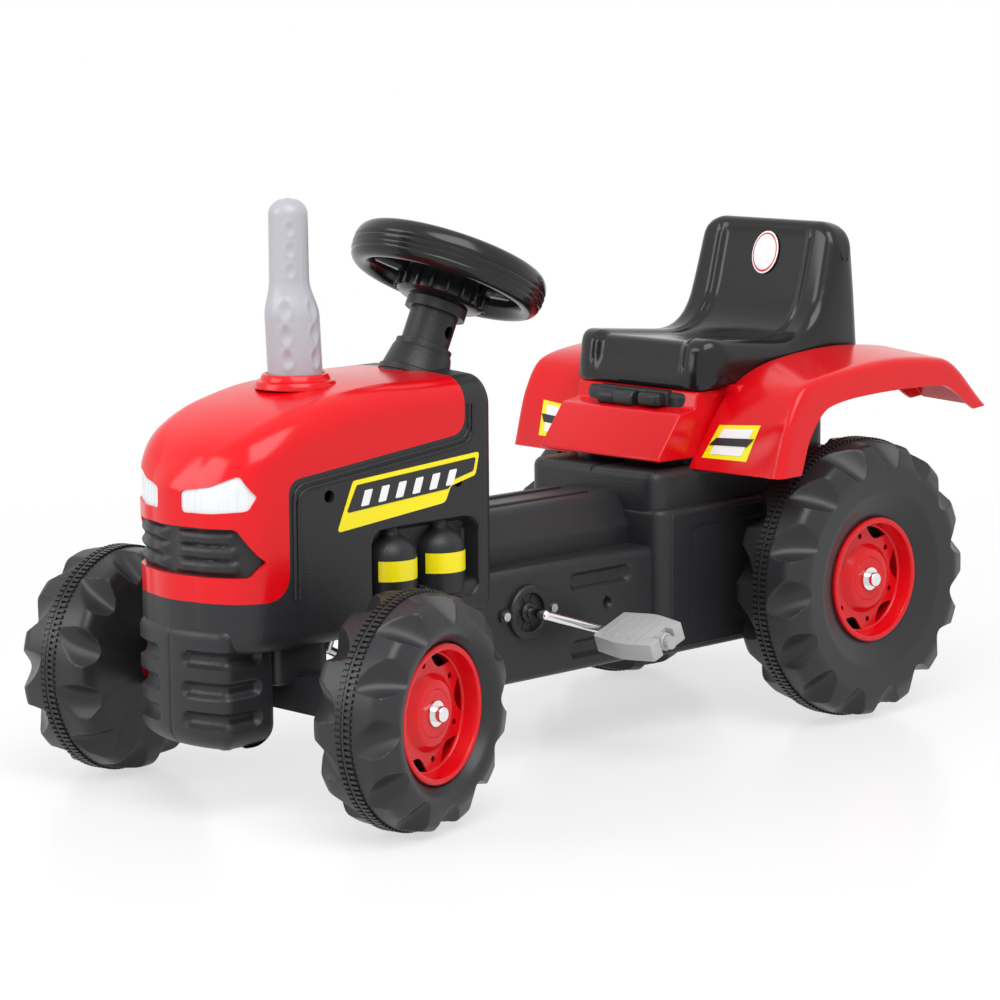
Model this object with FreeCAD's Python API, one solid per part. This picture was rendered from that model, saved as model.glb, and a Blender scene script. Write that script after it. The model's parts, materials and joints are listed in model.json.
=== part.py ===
"""Ride-on pedal tractor: moulded body halves, bonnet, fender and seat on four hollow wheels.

Lengths are millimetres. While modelling, x runs forward from the rear axle line, y to the tractor's
left and z up from the floor. Every piece is shifted at the end so that the origin is on the floor at
the middle of the overall length.
"""
import FreeCAD
import Part
import math
import os

V = FreeCAD.Vector

# Running gear layout
WHEELBASE = 617.5
FRONT_TRACK = 364.0
REAR_TRACK = 303.0
FRONT_WHEEL_R = 102.5
REAR_WHEEL_R = 135.0
FRONT_OVERHANG = 100.5
TAIL_REACH = 170.0

# Clearances
FIT = 0.05
RUN = 0.08
GAP = 0.4
END_PLAY = 0.3
BEYOND = 60.0
LAP = 20.0
HALF_SPACE = 2000.0

# Tyres, hollow mouldings with a scalloped tread
TYRE_HALF = 40.0
SEAM_HALF = 8.0
SEAM_RAISE = 2.0
SHOULDER_IN = 6.0
SHOULDER_DROP = 7.0
SIDE_DROP = 22.0
SHOULDER_ROUND = 8.0
DISH_R = 74.0
POCKET_R = 56.0
POCKET_FLOOR = 4.0
HUB_SOCKET_R = 19.0
TYRE_WALL = 4.0
CAVITY_DEPTH = 25.0
SCALLOP_R = 17.0
SCALLOP_DEPTH = 18.0
SCALLOP_SKEW = 8.0
FRONT_SCALLOPS = 12
REAR_SCALLOPS = 15

# Rims
RIM_LIP_R = 60.0
RIM_LIP_T = 31.0
RIM_LIP_THICK = 4.0
RIM_WALL = 3.0
RIM_DISC = 4.0
RIM_HUB_BASE_R = 28.0
RIM_HUB_TOP_R = 18.0
RIM_HUB_TOP_T = 23.0
RIM_TUBE_END = 38.0
RIM_OPENINGS = 6
RIM_OPENING_R = 40.0
SLOT_CURVE_R = 19.0
SLOT_OFFSET = 13.0
RIM_HOLE_R = 2.8

# Axles and their caps
AXLE_R = 5.0
WASHER_R = 11.0
WASHER_THICK = 1.5
CAP_R = 7.0
CAP_LENGTH = 8.0
AXLE_IN_CAP = 5.0
BUSH_WALL = 5.0
BUSH_FLANGE_R = 18.0
BUSH_FLANGE = 4.0
SPACER_WALL = 4.0
DRIVE_PIN_R = 2.0
DRIVE_PIN_T = -34.0

# Front axle and steering linkage
KINGPIN_Y = 118.0
KINGPIN_R = 4.0
KINGPIN_HEAD_R = 6.4
KNUCKLE_PLATE = 5.0
BEAM_BOSS_R = 14.0
BEAM_BOTTOM = 88.0
BEAM_TOP = 118.0
BEAM_HALF = 15.0
BEAM_WALL = 4.0
SADDLE_HALF_X = 13.0
SADDLE_HALF_Y = 30.0
STEER_ARM = 45.0
ARM_HALF = 8.0
ARM_PIN_R = 4.0
TIE_ROD_THICK = 5.0
TIE_ROD_HALF = 6.0
TIE_EYE_R = 9.0
PIN_PLAY = 0.3
REST_STEER = 13.0
KNUCKLE_TYRE_GAP = 3.0
CRANK_ARM_CLEAR = 9.0

# Steering column
COLUMN_SETBACK = 197.5
COLUMN_Z = 377.0
COLUMN_TILT = 25.3
SHAFT_R = 5.0
NECK_BASE_R = 33.0
NECK_TOP_R = 27.0
NECK_LENGTH = 60.0
COLLAR_R = 26.0
COLLAR_HEIGHT = 5.0
SLEEVE_R = 22.0
SLEEVE_WALL = 3.0
SLEEVE_START = 5.4
HUB_RING_R = 28.0
HUB_RING = 9.0
WHEEL_PLANE = 78.0
STEER_RIM_R = 79.5
STEER_RIM_HALF_W = 11.5
STEER_RIM_HALF_H = 18.0
STEER_HUB_R = 40.0
STEER_HUB_DEPTH = 33.0
STEER_DISH = 5.0
STEER_SPOKE_HALF = 13.0
STEER_SPOKE_ANGLES = (90.0, 210.0, 330.0)
STEER_CAP_R = 30.0
STEER_CAP = 4.0
FOOT_PAD_R = 15.0
FOOT_PAD_TOP = 18.0

# Body shell
SHELL = 3.0
FRONT_HALF = 82.0
TOWER_SETBACK = 207.5
BELLY_Z = 145.0
BELLY_ROUND = 16.0
BONNET_TOP = 362.0
NOSE_OVERHANG = 93.5
TOWER_SHOULDER = 24.0
# Distance back from the nose, side draw-in, top drop and shoulder radius of each section
NOSE_SECTIONS = (
    (203.0, 0.0, 0.0, 24.0),
    (140.0, 0.0, 3.0, 26.0),
    (80.0, 0.0, 14.0, 28.0),
    (40.0, 4.0, 29.0, 30.0),
    (16.0, 18.0, 46.0, 30.0),
    (6.0, 34.0, 62.0, 26.0),
    (0.0, 54.0, 82.0, 18.0),
)
SILL_HALF = 80.0
SILL_TOP = 181.0
SILL_SETBACK = 177.5
SILL_RUN_OUT = 52.0
SILL_ROUND = 30.0
BODY_BOTTOM = 76.0
TUNNEL_HALF = 48.0
TUNNEL_TOP_HALF = 30.0
TUNNEL_TOP = 229.0
TUNNEL_SIDE = 20.0
TUNNEL_EDGE_ROUND = 6.0
TUNNEL_ROUND = 14.0
BASE_FRONT = 205.0
BASE_REAR = -62.0
BASE_HALF = 85.0
BASE_LOWER_HALF = 91.0
LEDGE_Z = 215.0
BASE_TOP = 250.0
BASE_CORNER = 14.0
RISER_FRONT = 150.0
RISER_HALF = 70.0
CHIN_HALF = 60.0
CHIN_REAR_AHEAD = 34.5
CHIN_BOTTOM = 61.0
CHIN_TOP = 163.0
CHIN_ROUND = 18.0
CHIN_BOW = 14.0
CHIN_BOW_R = 120.0
CHIN_LOW_ROUND = 20.0
CHIN_BACK_ROUND = 4.0
CHIN_GROOVE_AHEAD = 48.5
CHIN_GROOVE_Z = (84.0, 110.0, 136.0)
CHIN_GROOVE_H = 11.0
CHIN_GROOVE_D = 2.0
SIDE_RECESS_D = 4.0
NICHE_SETBACK = (59.0, 188.5)
NICHE_Z = (165.0, 239.0)
NICHE_D = 16.0
NICHE_ROUND = 16.0
FLASK_SETBACK = (93.5, 151.5)
FLASK_R = 24.0
FLASK_BOTTOM = 172.0
FLASK_SHOULDER = 214.0
FLASK_DOME = 14.0
FLASK_KNOB_R = 8.5
FLASK_TOP = 242.0
SLOT_Z = (97.0, 163.0)
SLOT_X = (233.0, 311.0)
SLOT_H = 17.0
PANEL_X = (40.0, 160.0)
PANEL_Z = (94.0, 195.0)
PANEL_ROUND = 8.0
BOSS_R = 7.0
SCREW_R = 2.0
SCREW_HEAD_R = 4.0
SCREW_HEAD = 2.5
# Screw places as setback from the front axle and height on the tower, and as x and height on the base
TOWER_SCREWS = ((11.5, 274.0), (162.5, 271.0), (213.5, 110.0))
BASE_SCREWS = ((263.0, 138.0), (60.0, 232.0))
BODY_SCREW_DEPTH = 22.0
BODY_SCREW_LENGTH = 76.0

# Bonnet skin, grille opening and lamps
BONNET_SKIN = 2.5
BONNET_EDGE = 190.0
BONNET_SIDE_AHEAD = 33.0
BONNET_SIDE_Z = 292.0
BONNET_REAR_SETBACK = 171.5
BONNET_REAR_Z = 313.0
BONNET_FRONT_ROUND = 26.0
BONNET_CORNER = 14.0
GRILLE_Z = (212.0, 254.0)
GRILLE_HALF = 71.0
GRILLE_TIP = 7.0
GRILLE_TIP_AT = 0.3
TRIM_ROUND = 4.0
TRIM_DEPTH = 9.0
LOUVRE_D = 2.0
LOUVRE_H = 5.0
LOUVRE_INSET = 14.0
LOUVRES = 3
LAMP_Z = (266.0, 299.0)
LAMP_Y = (15.0, 75.0)
LAMP_SKIN = 2.2
LAMP_SLOPE = 0.45
LAMP_SWEEP = 9.0
BONNET_SCREW_SETBACK = 133.5
BONNET_SCREW_Y = 44.0
BONNET_SCREW_HEAD_R = 9.0
STACK_SEAT_R = 29.0
STACK_SEAT_Z = 363.0

# Exhaust stack
EXHAUST_SETBACK = 46.5
EXHAUST_R = 24.0
EXHAUST_NECK_R = 17.5
EXHAUST_NECK_Z = 448.0
EXHAUST_TOP = 523.0
EXHAUST_WALL = 2.5
EXHAUST_PLUG = 14.0
EXHAUST_LEAN = 6.0
EXHAUST_TAPER = 20.0

# Fender over both rear wheels
FENDER_WALL = 3.0
FENDER_HALF = 178.0
FENDER_INNER = 96.0
DECK_TOP = 321.0
SKIRT_FRONT = 196.0
SKIRT_BOTTOM = 258.0
SKIRT_TOP_X = 163.0
SKIRT_TOP = 300.0
SKIRT_HALF = 78.0
DECK_REAR = -98.0
DECK_ROUND = 6.0
DECK_LIP = 12.0
DECK_EDGE = 14.0
DECK_BACK_DROP = 40.0
DECK_SIDE_FRONT = 110.0
BRIDGE_REAR = -68.0
WING_FRONT = 134.0
WING_FRONT_Z = 246.0
WING_KNEE_X = 100.0
WING_KNEE_Z = 333.0
WING_TOP_X = -10.0
WING_TOP = 349.0
WING_BACK_X = -110.0
WING_BACK_Z = 339.0
TAIL_Z = 286.0
APRON_LIFT = 2.0
WING_SKIRT = 24.0
WING_KNEE_ROUND = 16.0
WING_TOP_ROUND = 40.0
WING_BACK_ROUND = 20.0
WING_EDGE_ROUND = 14.0

# Seat
SEAT_FRONT = 138.0
SEAT_HALF = 87.0
SEAT_EDGE = 47.0
SEAT_DIP = 36.0
SEAT_REAR = -88.0
SEAT_REAR_ROOM = 5.0
SEAT_RAKE = 4.0
SEAT_PAN = 50.0
SEAT_PAN_DROP = 3.0
SEAT_PAN_ROUND = 40.0
SEAT_HEEL = 16.0
SEAT_HEEL_ROUND = 30.0
SEAT_EDGE_ROUND = 14.0
BACK_ROUND = 11.0
BACK_TOP = 468.0
BACK_X = -62.0
BACK_THICK = 26.0
SEAT_WALL = 3.0
SEAT_CORNER = 24.0
SEAT_SCREW_X = (-40.0, 85.0)
SEAT_SCREW_Y = 50.0
FENDER_SCREW_X = (-20.0, 60.0)
FENDER_SCREW_Y = 30.0

# Pedal drive
CRANK_SETBACK = 249.5
CRANK_Z = 141.0
CRANK_ROD_R = 4.5
CRANK_ARM = 80.0
CRANK_REST = 198.0
ARM_OFFSET = 18.0
PEDAL_LENGTH = 72.0
PEDAL_START = 8.0
PEDAL_HALF = 28.0
PEDAL_END_HALF = 22.0
PEDAL_THICK = 17.0
PEDAL_TILT = 21.0
PEDAL_ROUND = 2.0
PEDAL_BOW_R = 60.0
PEDAL_TUBE_R = 8.0
PEDAL_CAP_R = 6.0
PEDAL_CAP = 4.0
CRANK_BUSH_R = 21.0
CRANK_FLANGE_R = 25.0
CRANK_FLANGE = 5.0
CRANK_HUB_R = 9.0
BUSH_DEPTH = 12.0
BUSH_WINDOWS = 8
EAR_REACH = 30.0
EAR_R = 6.0
EAR_SCREW_R = 1.6
EAR_SCREW_LENGTH = 10.0
CHAIN_PITCH = 10.0
CRANK_TEETH = 18
REAR_TEETH = 12
CHAIN_Y = 14.0
SPROCKET_THICK = 3.0
SPROCKET_HUB_R = 12.0
SPROCKET_HUB = 10.0
TOOTH_RISE = 2.5
CHAIN_PLATE = 1.5
CHAIN_SIDE_GAP = 0.5
CHAIN_HALF_H = 4.0
ROLLER_R = 2.4

# Places worked out from the sizes above. The front end is laid out from the front axle
FRONT_REACH = WHEELBASE + FRONT_OVERHANG
NOSE_X = WHEELBASE + NOSE_OVERHANG
CHIN_REAR = WHEELBASE + CHIN_REAR_AHEAD
CHIN_GROOVE_BACK = WHEELBASE + CHIN_GROOVE_AHEAD
BONNET_SIDE_X = WHEELBASE + BONNET_SIDE_AHEAD
BONNET_REAR_X = WHEELBASE - BONNET_REAR_SETBACK
BONNET_SCREW_X = WHEELBASE - BONNET_SCREW_SETBACK
EXHAUST_X = WHEELBASE - EXHAUST_SETBACK
COLUMN_X = WHEELBASE - COLUMN_SETBACK
TOWER_REAR = WHEELBASE - TOWER_SETBACK
SILL_FRONT = WHEELBASE - SILL_SETBACK
CRANK_X = WHEELBASE - CRANK_SETBACK
BODY_SCREWS = tuple((WHEELBASE - back, z) for back, z in TOWER_SCREWS) + BASE_SCREWS
FRONT_WHEEL_Y = FRONT_TRACK / 2
STEER = math.radians(REST_STEER)
WHEEL_TIP = (WHEELBASE + (FRONT_WHEEL_Y - KINGPIN_Y + SEAM_HALF) * math.sin(STEER)
             + FRONT_WHEEL_R * math.cos(STEER))
ORIGIN_X = (max(FRONT_REACH, WHEEL_TIP) - TAIL_REACH) / 2
REAR_WHEEL_Y = REAR_TRACK / 2
KNUCKLE_FACE = FRONT_WHEEL_Y - TYRE_HALF - KNUCKLE_TYRE_GAP
RISER_TOP = DECK_TOP - FENDER_WALL
SEAT_SCREW_TOP = DECK_TOP + SEAT_DIP / 2
UP = V(0, 0, 1)
ACROSS = V(0, 1, 0)
ALONG = V(1, 0, 0)
TILT = math.radians(COLUMN_TILT)
COLUMN_BASE = V(COLUMN_X, 0, COLUMN_Z)
COLUMN_UP = V(-math.sin(TILT), 0, math.cos(TILT))
COLUMN_BACK = V(-math.cos(TILT), 0, -math.sin(TILT))


def rounded_outline(corners):
    """Closed wire in the XY plane through (u, v, radius) corners, rounded where the radius isn't zero."""
    points = [V(u, v, 0) for u, v, _ in corners]
    count = len(points)
    spans = []
    for i, (_, _, radius) in enumerate(corners):
        here = points[i]
        if radius <= 0:
            spans.append((here, here, None))
            continue
        back = (points[i - 1] - here).normalize()
        ahead = (points[(i + 1) % count] - here).normalize()
        half = back.getAngle(ahead) / 2
        start = here + back * (radius / math.tan(half))
        stop = here + ahead * (radius / math.tan(half))
        inward = (back + ahead).normalize()
        middle = here + inward * (radius / math.sin(half) - radius)
        spans.append((start, stop, Part.Arc(start, middle, stop).toShape()))
    edges = []
    for i, (_, stop, arc) in enumerate(spans):
        if arc:
            edges.append(arc)
        following = spans[(i + 1) % count][0]
        if (following - stop).Length > 1e-6:
            edges.append(Part.makeLine(stop, following))
    return Part.Wire(edges)


def flat_face(corners, inset=0.0):
    """Face of a rounded outline, drawn in by the inset."""
    face = Part.Face(rounded_outline(corners))
    if inset:
        face = Part.Face(face.makeOffset2D(-inset).OuterWire)
    return face


def side_prism(corners, y0, y1, inset=0.0):
    """Prism of an outline in x and z, from y0 to y1."""
    face = flat_face(corners, inset)
    face.rotate(V(), ALONG, 90)
    face.translate(V(0, y0, 0))
    return face.extrude(V(0, y1 - y0, 0))


def plan_prism(corners, z0, z1, inset=0.0):
    """Prism of an outline in x and y, from z0 to z1."""
    face = flat_face(corners, inset)
    face.translate(V(0, 0, z0))
    return face.extrude(V(0, 0, z1 - z0))


def front_prism(corners, x0, x1, inset=0.0):
    """Prism of an outline in y and z, from x0 to x1."""
    face = flat_face(corners, inset)
    face.Placement = FreeCAD.Placement(V(x0, 0, 0), FreeCAD.Rotation(V(1, 1, 1), 120))
    return face.extrude(V(x1 - x0, 0, 0))


def box(x0, x1, y0, y1, z0, z1):
    """Box between two corners."""
    return Part.makeBox(x1 - x0, y1 - y0, z1 - z0, V(x0, y0, z0))


def rod(start, stop, radius):
    """Round rod between two points."""
    return Part.makeCylinder(radius, (stop - start).Length, start, stop - start)


def tube(start, stop, radius, bore):
    """Round tube between two points."""
    return rod(start, stop, radius).cut(rod(start, stop, bore))


def spun(profile):
    """Solid of revolution about the y axis from (radius, t) corners with rounding radii."""
    return flat_face(profile).revolve(V(), ACROSS, 360)


def joined(first, *others):
    """Union with shared faces merged."""
    return first.fuse(list(others)).removeSplitter()


def mirrored(shape):
    """Copy on the tractor's other side."""
    return shape.mirror(V(), ACROSS)


def save(name, shape):
    """Shift a piece to the part's origin and write it."""
    placed = shape.copy()
    placed.translate(V(-ORIGIN_X, 0, 0))
    placed.exportStep("parts/" + name + ".step")


# Wheels

def tyre(radius, scallops):
    """Hollow tyre about the y axis, outer side at positive y, with staggered scallops on both sides."""
    shoulder = TYRE_HALF - SHOULDER_IN
    crown = radius - SEAM_RAISE
    lip_seat = RIM_LIP_T - RIM_LIP_THICK
    outline = [
        (HUB_SOCKET_R, -TYRE_HALF, 0),
        (radius - SIDE_DROP, -TYRE_HALF, SHOULDER_ROUND),
        (radius - SHOULDER_DROP, -shoulder, SHOULDER_ROUND),
        (crown, -SEAM_HALF, 0),
        (radius, -SEAM_HALF, 0),
        (radius, SEAM_HALF, 0),
        (crown, SEAM_HALF, 0),
        (radius - SHOULDER_DROP, shoulder, SHOULDER_ROUND),
        (radius - SIDE_DROP, TYRE_HALF, SHOULDER_ROUND),
        (DISH_R, TYRE_HALF, SHOULDER_IN),
        (RIM_LIP_R, lip_seat, 0),
        (POCKET_R, lip_seat, 0),
        (POCKET_R, POCKET_FLOOR, 0),
        (HUB_SOCKET_R, POCKET_FLOOR, 0),
    ]
    cavity_r = radius - CAVITY_DEPTH
    cavity = [
        (HUB_SOCKET_R + TYRE_WALL, TYRE_WALL - TYRE_HALF, 0),
        (cavity_r, TYRE_WALL - TYRE_HALF, TYRE_WALL),
        (cavity_r, TYRE_HALF - TYRE_WALL, TYRE_WALL),
        (DISH_R, TYRE_HALF - TYRE_WALL, 0),
        (POCKET_R + TYRE_WALL, lip_seat - TYRE_WALL, 0),
        (POCKET_R + TYRE_WALL, POCKET_FLOOR - TYRE_WALL, 0),
        (HUB_SOCKET_R + TYRE_WALL, POCKET_FLOOR - TYRE_WALL, 0),
    ]
    cutters = []
    pitch = 360.0 / scallops
    for side in (1, -1):
        for k in range(scallops):
            angle = pitch * (k + 0.25 * (1 - side))
            cutters.append(scallop_cutter(radius, side, angle))
    return spun(outline).cut(spun(cavity)).cut(cutters)


def scallop_cutter(radius, side, angle):
    """Slanting cylinder that touches the tread at the seam and sinks in at the shoulder."""
    inner_angle = math.radians(angle - SCALLOP_SKEW)
    outer_angle = math.radians(angle)
    inner_r = radius - SEAM_RAISE + SCALLOP_R
    outer_r = radius - SCALLOP_DEPTH + SCALLOP_R
    start = V(inner_r * math.cos(inner_angle), side * SEAM_HALF, inner_r * math.sin(inner_angle))
    stop = V(outer_r * math.cos(outer_angle), side * TYRE_HALF, outer_r * math.sin(outer_angle))
    beyond = stop + (stop - start) * 0.5
    return rod(start, beyond, SCALLOP_R)


def rim():
    """Dished rim about the y axis with a lip, a deep wall, an opened disc and a raised hub."""
    wall_r = POCKET_R - FIT
    disc_top = POCKET_FLOOR + RIM_DISC
    bore = AXLE_R + RUN
    outline = [
        (bore, -RIM_TUBE_END, 0),
        (HUB_SOCKET_R - FIT, -RIM_TUBE_END, 0),
        (HUB_SOCKET_R - FIT, POCKET_FLOOR, 0),
        (wall_r, POCKET_FLOOR, 0),
        (wall_r, RIM_LIP_T - RIM_LIP_THICK, 0),
        (RIM_LIP_R, RIM_LIP_T - RIM_LIP_THICK, 0),
        (RIM_LIP_R, RIM_LIP_T, RIM_WALL / 2),
        (wall_r - RIM_WALL, RIM_LIP_T, RIM_WALL / 2),
        (wall_r - RIM_WALL, disc_top, RIM_WALL),
        (RIM_HUB_BASE_R, disc_top, RIM_WALL),
        (RIM_HUB_TOP_R, RIM_HUB_TOP_T, RIM_WALL),
        (bore, RIM_HUB_TOP_T, 0),
    ]
    cutters = []
    pitch = 360.0 / RIM_OPENINGS
    low = V(0, POCKET_FLOOR - RIM_DISC, 0)
    high = V(0, disc_top + RIM_DISC, 0)
    for k in range(RIM_OPENINGS):
        near = V(RIM_OPENING_R - SLOT_OFFSET, 0, 0)
        far = V(RIM_OPENING_R + SLOT_OFFSET, 0, 0)
        lens = rod(low + near, high + near, SLOT_CURVE_R).common(rod(low + far, high + far, SLOT_CURVE_R))
        lens.rotate(V(), ACROSS, pitch * k)
        spot = V(RIM_OPENING_R, 0, 0)
        hole = rod(low + spot, high + spot, RIM_HOLE_R)
        hole.rotate(V(), ACROSS, pitch * (k + 0.5))
        cutters += [lens, hole]
    return spun(outline).cut(cutters)


def wheel_end_cap(t):
    """Washer and push cap on an axle end, about the y axis, starting at t."""
    washer = tube(V(0, t, 0), V(0, t + WASHER_THICK, 0), WASHER_R, AXLE_R + FIT)
    start = t + WASHER_THICK
    cap = rod(V(0, start, 0), V(0, start + CAP_LENGTH, 0), CAP_R)
    cap = cap.makeFillet(CAP_R / 3, [cap.Edges[0]])
    socket = rod(V(0, start, 0), V(0, start + AXLE_IN_CAP, 0), AXLE_R + FIT)
    return joined(washer, cap.cut(socket))


def place_wheel(shape, x, y, z, side):
    """Wheel piece moved to its axle, turned round for the right side."""
    piece = shape.copy()
    if side < 0:
        piece.rotate(V(), UP, 180)
    piece.translate(V(x, side * y, z))
    return piece


# Front axle

def steered(shape, y):
    """Piece turned about the kingpin at y to the resting steering angle."""
    piece = shape.copy()
    piece.rotate(V(WHEELBASE, y, 0), UP, REST_STEER)
    return piece


def front_axle_beam():
    """Ribbed channel beam with a boss for each kingpin and a saddle under the body."""
    span = KINGPIN_Y
    beam = box(WHEELBASE - BEAM_HALF, WHEELBASE + BEAM_HALF, -span, span, BEAM_BOTTOM, BEAM_TOP)
    saddle = box(WHEELBASE - SADDLE_HALF_X, WHEELBASE + SADDLE_HALF_X, -SADDLE_HALF_Y, SADDLE_HALF_Y,
                 BEAM_TOP, BELLY_Z)
    pockets = []
    first = SADDLE_HALF_Y
    last = KINGPIN_Y - BEAM_BOSS_R
    middle = (first + last) / 2
    for side in (1, -1):
        for near, far in ((first, middle), (middle, last)):
            low, high = sorted((side * (near + BEAM_WALL / 2), side * (far - BEAM_WALL / 2)))
            pockets.append(box(WHEELBASE - BEAM_HALF + BEAM_WALL, WHEELBASE + BEAM_HALF - BEAM_WALL,
                               low, high, BEAM_BOTTOM, BEAM_TOP - BEAM_WALL))
    beam = beam.cut(pockets)
    reach = BEAM_HALF * 2
    for side in (1, -1):
        centre = V(WHEELBASE, side * KINGPIN_Y, BEAM_BOTTOM)
        top = V(WHEELBASE, side * KINGPIN_Y, BEAM_TOP)
        low, high = sorted((side * KINGPIN_Y, side * (KINGPIN_Y + reach)))
        beam = beam.cut(box(WHEELBASE - reach, WHEELBASE + reach, low, high, BEAM_BOTTOM, BEAM_TOP))
        beam = beam.fuse(rod(centre, top, BEAM_BOSS_R))
        beam = beam.cut(side_relief(side)).cut(rod(centre, top, KINGPIN_R + RUN))
    holes = [rod(V(WHEELBASE, y, BEAM_BOTTOM), V(WHEELBASE, y, BELLY_Z), SCREW_R + FIT)
             for y in beam_screw_places()]
    return joined(beam, saddle).cut(holes)


def side_relief(side):
    """Ring cut that leaves the boss round where the knuckle swings past the beam's corners."""
    centre = V(WHEELBASE, side * KINGPIN_Y, BEAM_BOTTOM)
    top = V(WHEELBASE, side * KINGPIN_Y, BEAM_TOP)
    low, high = sorted((side * (KINGPIN_Y - BEAM_BOSS_R / 2), side * (KINGPIN_Y + BEAM_BOSS_R * 2)))
    block = box(WHEELBASE - BEAM_HALF * 2, WHEELBASE + BEAM_HALF * 2, low, high, BEAM_BOTTOM, BEAM_TOP)
    return block.cut(rod(centre, top, BEAM_BOSS_R))


def beam_screw_places():
    """Places across the saddle of the screws that hold the beam."""
    return (-SADDLE_HALF_Y / 2, SADDLE_HALF_Y / 2)


def beam_screws():
    """Screws up through the beam's saddle into the belly."""
    screws = []
    for y in beam_screw_places():
        head = rod(V(WHEELBASE, y, BEAM_BOTTOM - SCREW_HEAD), V(WHEELBASE, y, BEAM_BOTTOM), SCREW_HEAD_R)
        shank = rod(V(WHEELBASE, y, BEAM_BOTTOM), V(WHEELBASE, y, BELLY_Z + SHELL * 3), SCREW_R)
        screws.append(joined(head, shank))
    return Part.makeCompound(screws)


def knuckle(side):
    """Fork round the beam's boss with the stub axle seat and the steering arm, standing straight."""
    y = side * KINGPIN_Y
    low = BEAM_BOTTOM - END_PLAY - KNUCKLE_PLATE
    high = BEAM_TOP + END_PLAY + KNUCKLE_PLATE
    wall_in = KINGPIN_Y + BEAM_BOSS_R + GAP * 2
    ear = BEAM_BOSS_R - 2 * GAP
    solids = []
    for z0 in (low, high - KNUCKLE_PLATE):
        solids.append(rod(V(WHEELBASE, y, z0), V(WHEELBASE, y, z0 + KNUCKLE_PLATE), ear))
        y0, y1 = sorted((y, side * KNUCKLE_FACE))
        solids.append(box(WHEELBASE - ear, WHEELBASE + ear, y0, y1, z0, z0 + KNUCKLE_PLATE))
    y0, y1 = sorted((side * wall_in, side * KNUCKLE_FACE))
    solids.append(box(WHEELBASE - ear, WHEELBASE + ear, y0, y1, low, high))
    tube_end = FRONT_WHEEL_Y - RIM_TUBE_END - END_PLAY
    hub_centre = V(WHEELBASE, 0, FRONT_WHEEL_R)
    solids.append(rod(hub_centre + V(0, side * wall_in, 0), hub_centre + V(0, side * tube_end, 0), ear))
    arm_top = low + KNUCKLE_PLATE
    arm_end = V(WHEELBASE - STEER_ARM, y, low)
    solids.append(box(WHEELBASE - STEER_ARM, WHEELBASE, y - ARM_HALF, y + ARM_HALF, low, arm_top))
    solids.append(rod(arm_end, arm_end + V(0, 0, KNUCKLE_PLATE), ARM_HALF))
    pin_top = tie_rod_low() + TIE_ROD_THICK + 2 * GAP
    solids.append(rod(arm_end, V(arm_end.x, arm_end.y, pin_top), ARM_PIN_R))
    body = joined(*solids)
    bore = rod(V(WHEELBASE, y, low), V(WHEELBASE, y, high), KINGPIN_R + FIT)
    seat = rod(hub_centre + V(0, side * wall_in, 0), hub_centre + V(0, side * tube_end, 0), AXLE_R + FIT)
    return body.cut([bore, seat])


def kingpin(side):
    """Headed pin through the knuckle and the beam's boss."""
    y = side * KINGPIN_Y
    low = BEAM_BOTTOM - END_PLAY - KNUCKLE_PLATE
    high = BEAM_TOP + END_PLAY + KNUCKLE_PLATE
    shank = rod(V(WHEELBASE, y, low - KNUCKLE_PLATE / 2), V(WHEELBASE, y, high), KINGPIN_R)
    head = rod(V(WHEELBASE, y, high), V(WHEELBASE, y, high + SCREW_HEAD), KINGPIN_HEAD_R)
    return joined(shank, head)


def stub_axle(side):
    """Steel pin that a front wheel turns on."""
    wall_in = KINGPIN_Y + BEAM_BOSS_R + GAP * 2
    end = FRONT_WHEEL_Y + RIM_HUB_TOP_T + END_PLAY + WASHER_THICK + AXLE_IN_CAP
    return rod(V(WHEELBASE, side * wall_in, FRONT_WHEEL_R), V(WHEELBASE, side * end, FRONT_WHEEL_R), AXLE_R)


def tie_rod_low():
    """Underside of the tie rod, which lies on the steering arms."""
    return BEAM_BOTTOM - END_PLAY + GAP


def tie_rod():
    """Flat bar between the steering arms with a slotted plate for the column's crank, standing straight."""
    x = WHEELBASE - STEER_ARM
    low = tie_rod_low()
    top = low + TIE_ROD_THICK
    bar = box(x - TIE_ROD_HALF, x + TIE_ROD_HALF, -KINGPIN_Y, KINGPIN_Y, low, top)
    eyes = [rod(V(x, y, low), V(x, y, top), TIE_EYE_R) for y in (-KINGPIN_Y, KINGPIN_Y)]
    slot_half_y = ARM_PIN_R + PIN_PLAY
    slot_half_x = ARM_PIN_R / math.cos(TILT) + TIE_ROD_THICK * math.tan(TILT) / 2 + 4 * PIN_PLAY
    mid = crank_point_at((low + top) / 2)
    rim_width = TIE_ROD_HALF
    plate_half = slot_half_y + rim_width
    plate = box(mid.x - slot_half_x - rim_width, x + TIE_ROD_HALF, -plate_half, plate_half, low, top)
    slot = box(mid.x - slot_half_x, mid.x + slot_half_x, -slot_half_y, slot_half_y, low, top)
    holes = [rod(V(x, KINGPIN_Y, low), V(x, KINGPIN_Y, top), ARM_PIN_R + RUN),
             rod(V(x, -KINGPIN_Y, low), V(x, -KINGPIN_Y, top), ARM_PIN_R + PIN_PLAY)]
    body = joined(bar, *eyes, plate).cut(holes)
    return body.cut(slot)


def rest_tie_rod():
    """Tie rod carried sideways by the arms at the resting steering angle."""
    angle = math.radians(REST_STEER)
    piece = tie_rod()
    piece.translate(V(STEER_ARM * (1 - math.cos(angle)), -STEER_ARM * math.sin(angle), 0))
    return piece


# Steering column

def on_column(distance):
    """Point on the steering axis, measured up the column from its collar."""
    return COLUMN_BASE + COLUMN_UP * distance


def column_foot():
    """Point on the steering axis where the crank leaves it, just above the tie rod."""
    drop = COLUMN_Z - (tie_rod_low() + TIE_ROD_THICK) - STEER_ARM * math.sin(TILT) - CRANK_ARM_CLEAR
    return on_column(-drop / math.cos(TILT))


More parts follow.
